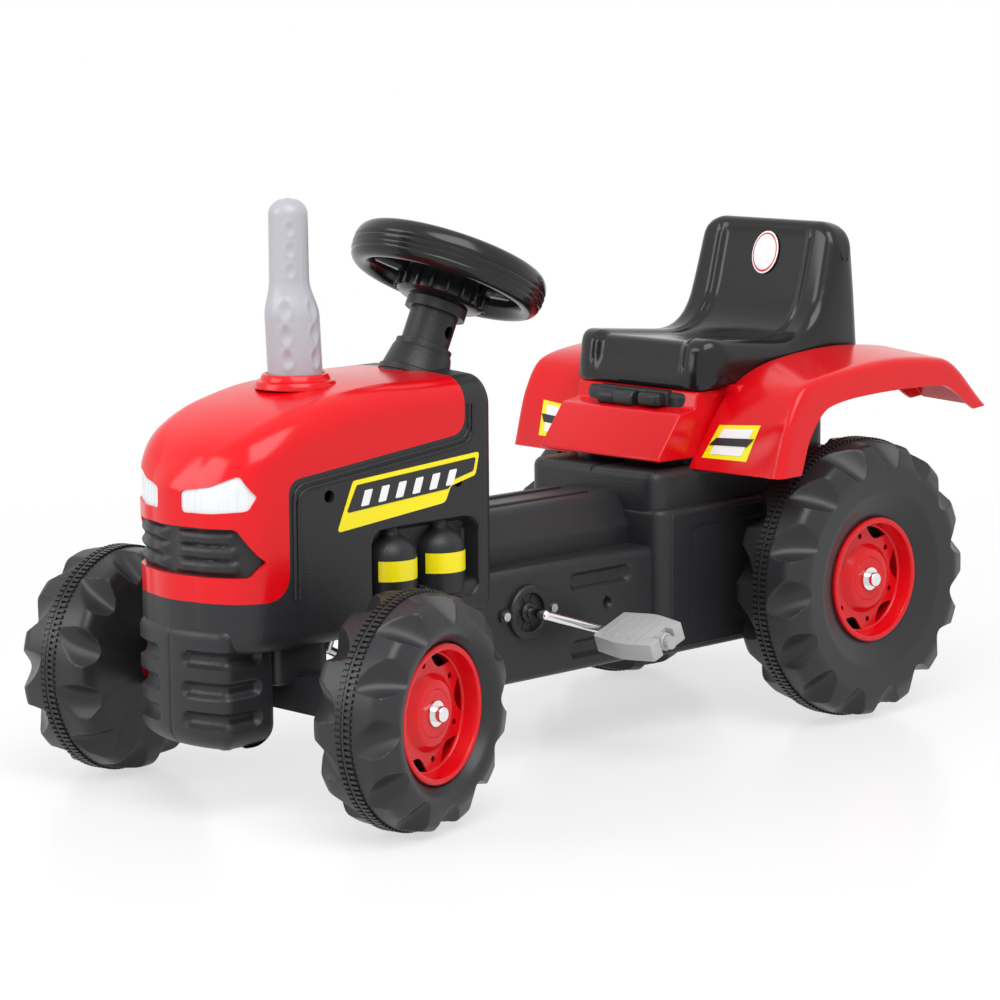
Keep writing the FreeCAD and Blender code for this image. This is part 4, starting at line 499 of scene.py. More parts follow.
RED = Finish("glossy_red_plastic", (0.66, 0.0015, 0.006), 0.20, 0.05, 260.0, 0.010, specular=0.34)
BODY = Finish("grained_black_plastic", (0.017, 0.017, 0.019), 0.40, 0.14, 620.0, 0.30, specular=0.34)
TYRE = Finish("satin_black_tyre", (0.020, 0.020, 0.022), 0.36, 0.16, 1100.0, 0.05, specular=0.36)
GLOSS = Finish("glossy_black_plastic", (0.007, 0.007, 0.008), 0.20, 0.10, 420.0, 0.015, specular=0.38)
STACK = Finish("silver_grey_plastic", (0.40, 0.40, 0.43), 0.34, 0.08, 900.0, 0.05)
PEDAL = Finish("pale_grey_plastic", (0.40, 0.40, 0.40), 0.44, 0.10, 900.0, 0.08)
CHROME = Finish("bright_plating", (0.82, 0.82, 0.82), 0.12, 0.10, 1500.0, 0.01, metallic=1.0)
ZINC = Finish("zinc_plating", (0.62, 0.62, 0.63), 0.30, 0.16, 1500.0, 0.03, metallic=1.0)
YELLOW = Finish("yellow_film", (0.93, 0.78, 0.0), 0.30, 0.05, 500.0, 0.01)
INK = Finish("black_film", (0.010, 0.010, 0.011), 0.30, 0.05, 500.0, 0.01)
WHITE = Finish("white_film", (0.86, 0.86, 0.86), 0.30, 0.05, 500.0, 0.01)
LENS = Finish("ribbed_clear_lens", (0.70, 0.72, 0.74), 0.10, 0.04, 500.0, 0.01, coat=1.0, ribs=300.0)

SLOT_FINISH: dict[Slot, Finish] = {
    Slot.BODY_BLACK: BODY,
    Slot.BODY_RED: RED,
    Slot.TYRE_BLACK: TYRE,
    Slot.GLOSS_BLACK: GLOSS,
    Slot.LAMP_CLEAR: LENS,
    Slot.STACK_GREY: STACK,
    Slot.PEDAL_GREY: PEDAL,
    Slot.BRIGHT_STEEL: CHROME,
    Slot.STEEL: ZINC,
}


# Shaping


class Mould:
    """A mesh being shaped, in metres, with the operators that the pieces share."""

    def __init__(self) -> None:
        """Start empty."""
        self.bm = bmesh.new()

    def block(self, low: Vector, high: Vector, rounding: float = 0.0, segments: int = 3) -> None:
        """Add a block between two corners, with all its edges rounded.

        Args:
            low: Lowest corner.
            high: Highest corner.
            rounding: Bevel width of the edges.
            segments: Steps across each rounded edge.
        """
        size = high - low
        place = Matrix.Translation((low + high) / 2) @ Matrix.Diagonal((*size, 1.0))
        verts = bmesh.ops.create_cube(self.bm, size=1.0, matrix=place)["verts"]
        if rounding > 0:
            edges = list({edge for vert in verts for edge in vert.link_edges})
            self.round_edges(edges, rounding, segments)

    def round_edges(self, edges: Iterable[bmesh.types.BMEdge], width: float, segments: int = 3) -> None:
        """Round some edges."""
        bmesh.ops.bevel(self.bm, geom=list(edges), offset=width, offset_type="OFFSET", segments=segments,
                        profile=0.5, affect="EDGES", clamp_overlap=True, material=-1)

    def outline(self, points: Sequence[Vector]) -> list[bmesh.types.BMEdge]:
        """Add a closed line through some points and return its edges."""
        verts = [self.bm.verts.new(point) for point in points]
        return [self.bm.edges.new((verts[i - 1], verts[i])) for i in range(len(verts))]

    def plate(self, points: Sequence[Vector], push: Vector, rounding: float = 0.0, segments: int = 2) -> None:
        """Add a plate: a flat outline pushed out into a closed prism.

        Args:
            points: Corners of the outline in order.
            push: How far and which way the outline is pushed.
            rounding: Bevel width of the two rims.
            segments: Steps across the rounded rims.
        """
        verts = [self.bm.verts.new(point) for point in points]
        face = self.bm.faces.new(verts)
        pushed = bmesh.ops.extrude_face_region(self.bm, geom=[face])["geom"]
        top = [item for item in pushed if isinstance(item, bmesh.types.BMVert)]
        bmesh.ops.translate(self.bm, verts=top, vec=push)
        if rounding > 0:
            rims = set(face.edges)
            rims |= {edge for edge in self.bm.edges if all(vert in top for vert in edge.verts)}
            self.round_edges(rims, rounding, segments)

    def loft(self, rings: Sequence[Sequence[Vector]], capped: bool = True) -> None:
        """Add a skin through closed rings of equally many points, by growing each ring from the last.

        Args:
            rings: Points of each ring, in matching order.
            capped: Whether the first and last rings are filled.
        """
        order = self.bm.verts.layers.int.get("order") or self.bm.verts.layers.int.new("order")
        edges = self.outline(rings[0])
        for index, edge in enumerate(edges):
            edge.verts[1][order] = index
        first = edges
        for ring in rings[1:]:
            grown = bmesh.ops.extrude_edge_only(self.bm, edges=edges)["geom"]
            for item in grown:
                if isinstance(item, bmesh.types.BMVert):
                    item.co = ring[item[order]]
            edges = [item for item in grown if isinstance(item, bmesh.types.BMEdge)
                     and all(len(vert.link_faces) <= 2 for vert in item.verts) and len(item.link_faces) == 1]
        if capped:
            bmesh.ops.edgeloop_fill(self.bm, edges=first)
            bmesh.ops.edgeloop_fill(self.bm, edges=edges)

    def full_turn(self, geom: list, axis: Corner, steps: int) -> None:
        """Spin some points and edges a full turn about an axis through the origin."""
        bmesh.ops.spin(self.bm, geom=geom, cent=(0, 0, 0), axis=axis, dvec=(0, 0, 0), angle=math.tau,
                       steps=steps, use_merge=True, use_duplicate=False)

    def grow(self, edges: list[bmesh.types.BMEdge]) -> list[bmesh.types.BMVert]:
        """Extrude some edges in place and return the new points."""
        grown = bmesh.ops.extrude_edge_only(self.bm, edges=edges)["geom"]
        return [item for item in grown if isinstance(item, bmesh.types.BMVert)]

    def close(self, merge: float = 1e-6) -> "Mould":
        """Merge doubled points and turn all faces outwards.

        Args:
            merge: Distance in metres within which points are one.

        Returns:
            This shape.
        """
        bmesh.ops.remove_doubles(self.bm, verts=self.bm.verts, dist=merge)
        bmesh.ops.recalc_face_normals(self.bm, faces=self.bm.faces)
        return self

    def move(self, matrix: Matrix) -> "Mould":
        """Carry the whole shape by a matrix."""
        bmesh.ops.transform(self.bm, matrix=matrix, verts=self.bm.verts)
        return self

    def sheet(self, rows: int, cols: int, place: Callable[[int, int], Vector]) -> None:
        """Add a grid of faces and put each of its points in place.

        Args:
            rows: Points one way.
            cols: Points the other way.
            place: Place in metres of the point in a row and column.
        """
        verts = bmesh.ops.create_grid(self.bm, x_segments=rows - 1, y_segments=cols - 1, size=1.0)["verts"]
        for vert in verts:
            i = round((vert.co.x + 1) / 2 * (rows - 1))
            j = round((vert.co.y + 1) / 2 * (cols - 1))
            vert.co = place(i, j)

    def millimetres(self, items: Sequence[Vector]) -> np.ndarray:
        """Places as rows of x from the rear axle, y and z in millimetres.

        Args:
            items: Places in metres.

        Returns:
            A row for each place.
        """
        rows = np.array([tuple(item) for item in items]).reshape(-1, 3) / MM
        rows[:, 0] -= REAR_AXLE_X / MM
        return rows

    def cut_along(self, region: Region, reach: float = 5.0) -> None:
        """Split the faces along a region's line.

        Args:
            region: The region.
            reach: How near the line a face has to be, in millimetres.
        """
        axes = region.view.value
        shift = REAR_AXLE_X if axes[0] == 0 else 0.0
        faces = list(self.bm.faces)
        depth = region.depth(self.millimetres([face.calc_center_median() for face in faces]))
        near = {face for face, deep in zip(faces, depth) if abs(deep) < reach}
        for a, b in zip(region.line, region.line[1:] + region.line[:1]):
            span = b - a
            if span.length < 1e-6:
                continue
            tangent = span.normalized()
            chosen = []
            for face in near:
                centre = face.calc_center_median()
                flat = Vector(((centre[axes[0]] - shift) / MM, centre[axes[1]] / MM))
                along = (flat - a).dot(tangent)
                off = abs((flat - a).cross(tangent))
                if -reach < along < span.length + reach and off < reach:
                    chosen.append(face)
            geom = set(chosen) | {e for f in chosen for e in f.edges} | {v for f in chosen for v in f.verts}
            normal = Vector((0.0, 0.0, 0.0))
            normal[axes[0]] = -tangent.y
            normal[axes[1]] = tangent.x
            at = Vector((0.0, 0.0, 0.0))
            at[axes[0]] = a.x * MM + shift
            at[axes[1]] = a.y * MM
            split = bmesh.ops.bisect_plane(self.bm, geom=list(geom), dist=2e-6, plane_co=at, plane_no=normal)
            near -= set(chosen)
            near |= {item for item in split["geom"] if isinstance(item, bmesh.types.BMFace)}

    def depths(self, region: Region) -> dict[bmesh.types.BMFace, float]:
        """How deep each face's middle lies in a region."""
        faces = list(self.bm.faces)
        return dict(zip(faces, region.depth(self.millimetres([face.calc_center_median() for face in faces]))))

    def keep(self, faces: Iterable[bmesh.types.BMFace]) -> "Mould":
        """A copy of some faces, in the order of their numbers here.

        Args:
            faces: The faces.

        Returns:
            The copy.
        """
        self.bm.faces.index_update()
        wanted = {face.index for face in faces}
        copy = Mould()
        copy.bm = self.bm.copy()
        copy.bm.faces.ensure_lookup_table()
        drop = [face for face in copy.bm.faces if face.index not in wanted]
        bmesh.ops.delete(copy.bm, geom=drop, context="FACES")
        return copy

    def face_out(self, inside: Vector) -> "Mould":
        """Turn an open skin so that it faces away from a place inside it.

        Args:
            inside: The place.

        Returns:
            This shape.
        """
        self.bm.normal_update()
        faces = list(self.bm.faces)
        facing = sum(f.normal.dot(f.calc_center_median() - inside) * f.calc_area() for f in faces)
        if facing < 0:
            bmesh.ops.reverse_faces(self.bm, faces=faces)
        self.bm.normal_update()
        return self

    def sink(self, depths: Iterable[float]) -> "Mould":
        """Move every point against its normal by its own depth in millimetres.

        Args:
            depths: A depth for each point.

        Returns:
            This shape.
        """
        self.bm.normal_update()
        moves = [vert.normal * (-float(deep) * MM) for vert, deep in zip(self.bm.verts, depths)]
        for vert, move in zip(self.bm.verts, moves):
            vert.co += move
        return self

    def lip(self, depth: float) -> "Mould":
        """Turn the open edges inwards, but not those on the middle plane, by a depth in millimetres.

        Args:
            depth: The depth.

        Returns:
            This shape.
        """
        self.bm.normal_update()
        rim = [edge for edge in self.bm.edges
               if edge.is_boundary and abs(sum(vert.co.y for vert in edge.verts)) > 2e-5]
        inward = {vert: -vert.normal * depth * MM for edge in rim for vert in edge.verts}
        for vert in self.grow(rim):
            for edge in vert.link_edges:
                other = edge.other_vert(vert)
                if other in inward:
                    vert.co = other.co + inward[other]
        return self

    def take(self, other: "Mould") -> "Mould":
        """Add a copy of another shape.

        Args:
            other: The other shape.

        Returns:
            This shape.
        """
        mesh = bpy.data.meshes.new("shape")
        other.bm.to_mesh(mesh)
        self.bm.from_mesh(mesh)
        bpy.data.meshes.remove(mesh)
        return self

    def mirrored(self) -> "Mould":
        """A copy for the tractor's other side.

        Returns:
            The copy.
        """
        made = Mould()
        made.bm = self.bm.copy()
        bmesh.ops.scale(made.bm, vec=(1.0, -1.0, 1.0), verts=made.bm.verts)
        bmesh.ops.reverse_faces(made.bm, faces=list(made.bm.faces))
        return made

    def both(self) -> "Mould":
        """This shape and its copy for the other side as one shape."""
        return Mould().take(self).take(self.mirrored())

    def left_half(self) -> "Mould":
        """Cut away all that lies right of the middle plane.

        Returns:
            This shape.
        """
        geom = list(self.bm.faces) + list(self.bm.edges) + list(self.bm.verts)
        bmesh.ops.bisect_plane(self.bm, geom=geom, plane_co=(0, 0, 0), plane_no=(0, -1, 0), clear_outer=True)
        return self

    def bead(self, path: Sequence[Vector], radius: float, closed: bool = False, sides: int = 8) -> None:
        """Add a round bead along a line.

        Args:
            path: Points of the line in metres.
            radius: Radius in millimetres.
            closed: Whether the line closes.
            sides: Corners of the bead's section.
        """
        rings = []
        count = len(path)
        for i, point in enumerate(path):
            before = path[i - 1] if i or closed else point
            after = path[(i + 1) % count] if i + 1 < count or closed else point
            along = (after - before).normalized()
            across = along.cross(Vector((0.0, 0.0, 1.0)) if abs(along.z) < 0.9 else Vector((0.0, 1.0, 0.0)))
            across.normalize()
            rise = along.cross(across)
            turns = [math.tau * k / sides for k in range(sides)]
            rings.append([point + (across * math.cos(turn) + rise * math.sin(turn)) * radius * MM
                          for turn in turns])
        if closed:
            rings.append(rings[0])
        self.loft(rings, capped=not closed)

    def turned(self, profile: Sequence[Point], steps: int = 48, closed: bool = False) -> "Mould":
        """Add a turned shape about the z axis from radius and height in millimetres.

        Args:
            profile: Radius and height of each corner.
            steps: Steps round the turn.
            closed: Whether the last corner joins the first.

        Returns:
            This shape.
        """
        verts = [self.bm.verts.new((radius * MM, 0.0, height * MM)) for radius, height in profile]
        pairs = list(zip(verts, verts[1:])) + ([(verts[-1], verts[0])] if closed else [])
        edges = [self.bm.edges.new(pair) for pair in pairs]
        self.full_turn(verts + edges, (0, 0, 1), steps)
        return self.close(1e-5)

    def merge(self, dist: float) -> "Mould":
        """Merge doubled points and leave the faces as they are turned."""
        bmesh.ops.remove_doubles(self.bm, verts=self.bm.verts, dist=dist)
        return self

    def places(self) -> np.ndarray:
        """Places of all points in millimetres."""
        return self.millimetres([vert.co for vert in self.bm.verts])

    def panel(self, outline: Region, level: float, back: float, edge: float, step: float,
              dents: Sequence[tuple[Region, float]] = ()) -> "Mould":
        """Add a side panel with a rounded rim and soft dents.

        Args:
            outline: Its outline seen from the side.
            level: Distance of its face from the middle plane in millimetres.
            back: Distance of its back edge.
            edge: Rounding of the rim.
            step: Grid step.
            dents: Outlines sunk into the face, with their depths.

        Returns:
            This shape.
        """
        low = [min(p[k] for p in outline.line) - step for k in (0, 1)]
        high = [max(p[k] for p in outline.line) + step for k in (0, 1)]
        rows, cols = (round((high[k] - low[k]) / step) + 1 for k in (0, 1))
        self.sheet(rows, cols, lambda i, j: spot(between(low[0], high[0], i / (rows - 1)), level,
                                                 between(low[1], high[1], j / (cols - 1))))
        self.cut_along(outline)
        outside = [face for face, deep in self.depths(outline).items() if deep < 0]
        bmesh.ops.delete(self.bm, geom=outside, context="FACES")
        places = self.places()
        sunk = np.zeros(len(places))
        for region, depth in dents:
            inside = np.clip(region.depth(places) / 4.0, 0.0, 1.0)
            sunk = np.maximum(sunk, depth * inside ** 2 * (3 - 2 * inside))
        near = np.clip(edge - outline.depth(places), 0.0, edge)
        sunk += edge - np.sqrt(np.maximum(edge ** 2 - near ** 2, 0.0))
        for vert, deep in zip(self.bm.verts, sunk):
            vert.co.y -= float(deep) * MM
        rim = [item for item in self.bm.edges if item.is_boundary]
        for vert in self.grow(rim):
            vert.co.y = back * MM
        return self.face_out(spot((low[0] + high[0]) / 2, back, (low[1] + high[1]) / 2))

    def piece(self, name: str, finish: Finish, body: str, slot: Slot, stands_for: Sequence[str] = (),
              crease: float = 32.0) -> bpy.types.Object:
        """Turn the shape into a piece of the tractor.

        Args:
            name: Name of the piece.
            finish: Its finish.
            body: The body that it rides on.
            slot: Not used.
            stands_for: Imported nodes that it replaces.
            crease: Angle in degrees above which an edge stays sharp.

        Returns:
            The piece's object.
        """
        for face in self.bm.faces:
            face.smooth = True
        for edge in self.bm.edges:
            edge.smooth = not (len(edge.link_faces) == 2 and edge.calc_face_angle(0.0) > math.radians(crease))
        mesh = bpy.data.meshes.new(name)
        self.bm.to_mesh(mesh)
        self.bm.free()
        made = bpy.data.objects.new(name, mesh)
        bpy.context.scene.collection.objects.link(made)
        mesh.materials.append(finish.material())
        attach(made, body)
        if stands_for:
            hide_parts(*stands_for)
        LOG.info("%s: %d faces", name, len(mesh.polygons))
        return made


# Wheels


@dataclass
class Tyre:
    """Hollow tyre with staggered scoops, a toothed middle strip and a rounded side. Sizes in millimetres.

    Attributes:
        radius: Outer radius at the teeth.
        scoops: Scoops on each side.
        teeth: Teeth in each row.
        half: Half width.
        strip_half: Half width of the toothed strip.
        scoop_depth: Depth of the scoops at the tyre's side.
        scoop_fill: Half width of a scoop as a share of the pitch.
        seat_r: Radius where the side meets the rim.
        seat_t: Distance of that edge from the middle plane.
        steps_per_scoop: Steps round the wheel for each scoop.
        tooth: Height, width and length of a tooth.
        tooth_off: Distance of a row's middle from the middle plane.
    """

    radius: float
    scoops: int
    teeth: int
    half: float = 40.0
    strip_half: float = 8.0
    scoop_depth: float = 25.0
    scoop_fill: float = 0.40
    seat_r: float = 60.0
    seat_t: float = 27.0
    steps_per_scoop: int = 48
    tooth: Corner = (4.4, 5.8, 2.9)
    tooth_off: float = 4.6

    def tread_line(self) -> list[Vector]:
        """Outer line from the strip's edge over the shoulder and the side to the rim, as radius and width.

        Returns:
            The points of the line.
        """
        side_r = self.radius - 25.0
        corners = [(self.radius - 2.0, self.strip_half, 0), (self.radius - 4.0, self.half - 7.0, 13),
                   (side_r, self.half + 0.6, 22), (between(side_r, self.seat_r, 0.5), self.half - 1.5, 16),
                   (self.seat_r, self.seat_t, 0)]
        return spaced(rounded(corners, 8, False), 1.4)

    def scooped(self, radius: float, width: float, across: float) -> float:
        """Radius that a scoop leaves: a trough that deepens straight from the strip to the side.

        Args:
            radius: Radius without the scoops.
            width: Distance from the tyre's middle plane.
            across: Distance round the wheel from the middle of the scoop's wide end.

        Returns:
            The radius that is left.
        """
        full = math.tau * self.radius / self.scoops * self.scoop_fill
        share = max(0.0, (width - self.strip_half) / (self.half - self.strip_half))
        floor = self.radius - 2.0 - self.scoop_depth * share
        off = across - 0.8 * full * (math.sqrt(share) - 1.0)
        return min(radius, floor + self.scoop_depth * 0.82 * (off / full) ** 2)

    def build(self) -> Mould:
        """Shape the tyre about the y axis, outer side at positive y.

        Returns:
            The tyre at the origin, in metres.
        """
        shape = Mould()
        bm = shape.bm
        tread = self.tread_line()
        profile = [(point.x, -point.y) for point in reversed(tread) if point.x > self.seat_r + 22.0]
        ridge = ((-7.8, 2.4), (-1.4, 2.4), (-1.0, 0.4), (1.0, 0.4), (1.4, 2.4), (7.8, 2.4))
        profile += [(self.radius - drop, width) for width, drop in ridge]
        profile += [(point.x, point.y) for point in tread]
        profile += [(56.0, self.seat_t), (56.0, 4.0), (19.0, 4.0), (19.0, -self.half), (74.0, -self.half)]
        edges = shape.outline([Vector((radius * MM, width * MM, 0.0)) for radius, width in profile])
        shape.full_turn(list(bm.verts) + edges, (0, -1, 0), self.scoops * self.steps_per_scoop)
        pitch = math.tau / self.scoops
        for vert in bm.verts:
            radius, width = math.hypot(vert.co.x, vert.co.z) / MM, abs(vert.co.y) / MM
            if width < self.strip_half or radius < self.seat_r + 8.0:
                continue
            offset = 0.0 if vert.co.y > 0 else 0.5
            across = (math.atan2(vert.co.z, vert.co.x) / pitch - offset + 0.5) % 1.0 - 0.5
            share = self.scooped(radius, width, across * pitch * self.radius) / radius
            vert.co.x *= share
            vert.co.z *= share
        shape.close(2e-5)
        for side in (1, -1):
            self.tooth_row(shape, side)
        return shape

    def tooth_row(self, shape: Mould, side: int) -> None:
        """Add one row of teeth beside the middle ridge.

        Args:
            shape: The tyre being shaped.
            side: One for the outer row, minus one for the inner.
        """
        middle = Vector((self.radius - self.tooth[0] / 2, side * self.tooth_off, 0.0)) * MM
        place = Matrix.Translation(middle) @ Matrix.Diagonal((*(Vector(self.tooth) * MM), 1.0))
        verts = bmesh.ops.create_cube(shape.bm, size=1.0, matrix=place)["verts"]
        geom = set(verts)
        for vert in verts:
            geom.update(vert.link_edges, vert.link_faces)
        bmesh.ops.spin(shape.bm, geom=list(geom), cent=(0, 0, 0), axis=(0, 1, 0), dvec=(0, 0, 0),
                       angle=math.tau * (self.teeth - 1) / self.teeth, steps=self.teeth - 1,
                       use_merge=False, use_duplicate=True)


@dataclass
class Rim:
    """Dished rim with a rolled lip, lens-shaped openings and a round boss. Sizes in millimetres."""

    openings: int = 6
    disc_t: float = 16.0
    disc_back: float = 14.4
    opening_r: float = 50.2
    opening_low: float = 39.5
    opening_half: float = 18.5
    hole_ring: float = 41.5
    hole_r: float = 2.8
    profile: tuple[Point, ...] = (
        (5.4, -38.0), (18.9, -38.0), (18.9, 14.4), (24.0, 14.4), (30.0, 14.4), (36.0, 14.4), (39.0, 14.4),
        (42.0, 14.4), (45.0, 14.4), (48.0, 14.4), (52.6, 14.4), (52.6, 5.0), (55.8, 5.0), (55.8, 27.2),
        (59.6, 27.2), (60.0, 29.4), (59.4, 30.6), (58.0, 31.2), (56.0, 31.2), (54.6, 30.6), (54.0, 29.4),
        (52.2, 17.8), (51.6, 16.6), (50.6, 16.0), (48.0, 16.0), (45.0, 16.0), (42.0, 16.0), (39.0, 16.0),
        (36.0, 16.0), (33.8, 16.0), (32.8, 16.5), (28.4, 22.2), (27.0, 22.9), (21.2, 23.0), (20.6, 22.5),
        (20.0, 23.0), (5.4, 23.0))

    def cuts(self) -> list[Region]:
        """Outlines of the openings and the small holes between them, round the rear axle's height of nought.

        Returns:
            The outlines about the origin.
        """
        made = []
        for k in range(self.openings):
            middle = math.tau * k / self.openings + 0.9
            line = []
            for m in range(-4, 5):
                turn = middle + math.radians(self.opening_half) * m / 4
                line.append((self.opening_r * math.cos(turn), self.opening_r * math.sin(turn), 0.0))
            for m in range(3, -4, -1):
                turn = middle + math.radians(self.opening_half) * m / 4
                radius = between(self.opening_low, self.opening_r, (m / 4) ** 2)
                line.append((radius * math.cos(turn), radius * math.sin(turn), 0.0))
            made.append(Region(View.SIDE, line))
            turn = middle + math.pi / self.openings
            x, z = self.hole_ring * math.cos(turn), self.hole_ring * math.sin(turn)
            made.append(Region(View.SIDE, circle(x, z, self.hole_r, 12)))
        return made

    def build(self) -> Mould:
        """Turn the rim about the y axis and open its disc.

        Returns:
            The rim at the origin, outer side at positive y.
        """
        shape = Mould().turned(self.profile, 96, True)
        shape.move(Matrix.Translation(spot(0, 0, 0)) @ Matrix.Rotation(-math.pi / 2, 4, "X"))
        low, high = self.disc_back - 0.1, self.disc_t + 0.1
        for cut in self.cuts():
            shape.cut_along(cut, 3.0)
            flat = [face for face, deep in shape.depths(cut).items()
                    if deep > 0 and low < face.calc_center_median().y / MM < high]
            bmesh.ops.delete(shape.bm, geom=flat, context="FACES")
        rim = [edge for edge in shape.bm.edges
               if edge.is_boundary and edge.verts[0].co.y / MM > self.disc_t - 0.1]
        for vert in shape.grow(rim):
            vert.co.y = self.disc_back * MM
        return shape.move(Matrix.Translation(-spot(0, 0, 0)))


@dataclass
class Wheels:
    """The four wheels: tyres and rims on their axles. Sizes in millimetres."""

    front_tyre: Tyre
    rear_tyre: Tyre
    rim: Rim
    rear_y: float = 151.5

    @staticmethod
    def hub(side: Side, axis: Sequence[float], centre: Sequence[float]) -> Matrix:
        """Place of a wheel whose own axis is +y, outer side out.

        Args:
            side: Side of the tractor.
            axis: Rolling axis pointing left.
            centre: Wheel centre.

        Returns:
            The matrix from the wheel's own frame.
        """
        turn = math.atan2(-axis[0], axis[1])
        flip = Matrix.Rotation(math.pi, 4, "Z") if side is Side.RIGHT else Matrix.Identity(4)
        return Matrix.Translation(Vector(centre)) @ Matrix.Rotation(turn, 4, "Z") @ flip

    def dress(self) -> None:
        """Build each tyre and rim once and put them on all four axle ends."""
        rim = self.rim.build()
        axle = JOINTS["rear_axle_turn"]["pos_m"]
        for end, tyre in (("front", self.front_tyre.build()), ("rear", self.rear_tyre.build())):
            for side in Side:
                word = side.word
                if end == "front":
                    joint = JOINTS[f"{word}_front_roll"]
                    place = self.hub(side, joint["axis"], joint["pos_m"])
                    body = f"{word}_front_wheel"
                else:
                    place = self.hub(side, (0.0, 1.0, 0.0), (axle[0], side.value * self.rear_y * MM, axle[2]))
                    body = "rear_drive" if side is Side.LEFT else "right_rear_wheel"
                rubber = Mould().take(tyre).move(place)
                rubber.piece(f"{end}_tyre_{word}_scooped", TYRE, body, Slot.TYRE_BLACK,
                             [f"{end}_tyre_{word}"], 30.0)
                disc = Mould().take(rim).move(place)
                disc.piece(f"{end}_rim_{word}_dished", RED, body, Slot.BODY_RED, [f"{end}_rim_{word}"], 34.0)


@dataclass
class Drive:
    """Pedals and the webbed bushes that the crank turns in. Sizes in millimetres."""

    pedal_half: float = 28.0
    pedal_end: float = 22.0
    pedal_thick: float = 17.0
    tilt: float = 21.0
    notch_half: float = 9.5
    notch_depth: float = 10.0
    lines: int = 5
    sill: float = 80.0
    flange_r: float = 25.0
    ear_reach: float = 30.0
    webs: int = 8

    def pedal(self, side: Side) -> None:
        """Make a pedal with fine lines across its tread and a notch round its pin.

        Args:
            side: Side of the tractor.
        """
        joint = JOINTS[f"{side.word}_pedal_spin"]
        low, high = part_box(f"pedal_{side.word}")
        start, stop = sorted(abs(y) / MM for y in (low.y, high.y))
        middle, top, end = (start + stop) / 2, self.pedal_thick / 2, self.pedal_end
        notch, foot = self.notch_half, stop - self.notch_depth
        line = rounded([(-end, start, 3), (end, start, 3), (self.pedal_half, middle, 60), (end, stop, 3),
                        (notch, stop, 1), (notch, foot, 1), (-notch, foot, 1), (-notch, stop, 1),
                        (-end, stop, 3), (-self.pedal_half, middle, 60)], 6)
        shape = Mould()
        push = Vector((0.0, 0.0, 2 * top * MM))
        shape.plate([Vector((p.x, p.y, -top)) * MM for p in line], push, 0.0012, 3)
        for k in range(self.lines):
            y = start + 12.0 + 10.0 * k
            shape.block(Vector((-19.0, y - 0.6, top - 0.5)) * MM, Vector((19.0, y + 0.6, top + 0.9)) * MM,
                        0.0003, 2)
        boss = Mould().turned([(4.6, stop - 14.0), (8.0, stop - 14.0), (8.0, stop - 1.6), (7.0, stop - 0.6),
                               (4.6, stop - 0.6)], 32, True)
        shape.take(boss.move(Matrix.Rotation(-math.pi / 2, 4, "X")))
        flip = Matrix.Scale(-1.0, 4, (0.0, 1.0, 0.0)) if side is Side.RIGHT else Matrix.Identity(4)
        pin = Matrix.Translation(Vector((joint["pos_m"][0], 0.0, joint["pos_m"][2])))
        shape.move(pin @ Matrix.Rotation(math.radians(self.tilt), 4, "Y") @ flip).close()
        shape.piece(f"pedal_{side.word}_lined", PEDAL, f"{side.word}_pedal", Slot.PEDAL_GREY,
                    [f"pedal_{side.word}"])

    def bush(self) -> Mould:
        """Left bush about the y axis: flange, sunk well with webs, hub and two screw ears.

        Returns:
            The bush.
        """
        shape = Mould()
        wall = self.sill
        flange = self.flange_r
        shape.turned([(flange, wall - 0.4), (flange, wall + 3.4), (flange - 1.4, wall + 5.0),
                      (19.4, wall + 5.0), (18.0, wall + 4.0), (17.4, wall - 9.0), (5.2, wall - 9.0),
                      (5.2, wall - 12.0), (21.0, wall - 12.0), (21.0, wall - 0.4)], 64, True)
        shape.turned([(5.2, wall - 10.0), (9.4, wall - 10.0), (9.0, wall + 2.6), (8.0, wall + 3.6),
                      (5.2, wall + 3.6)], 32, True)
        web = Mould()
        web.block(Vector((8.2, -1.1, wall - 9.5)) * MM, Vector((18.0, 1.1, wall + 1.0)) * MM, 0.0004, 2)
        for k in range(self.webs):
            turn = Matrix.Rotation(math.tau * (k + 0.5) / self.webs, 4, "Z")
            shape.take(Mould().take(web).move(turn))
        ear = rounded([(-self.ear_reach - 6, -6, 6), (self.ear_reach + 6, -6, 6), (self.ear_reach + 6, 6, 6),
                       (-self.ear_reach - 6, 6, 6)], 8)
        for side in (1, -1):
            half = [Vector((max(p.x * side, self.flange_r - 3.0) * side, p.y, wall)) * MM for p in ear]
            shape.plate(half, Vector((0.0, 0.0, 0.0025)), 0.0007, 2)
        return shape.move(Matrix.Rotation(-math.pi / 2, 4, "X")).close()

    def build(self) -> None:
        """Make both pedals and both bushes."""
        turn = JOINTS["crank_turn"]["pos_m"]
        bush = self.bush().move(Matrix.Translation((turn[0], 0.0, turn[2])))
        for side in Side:
            self.pedal(side)
            made = Mould().take(bush if side is Side.LEFT else bush.mirrored())
            made.piece(f"crank_bush_{side.word}_webbed", BODY, "chassis", Slot.BODY_BLACK,
                       [f"crank_bush_{side.word}"])


# Front and body


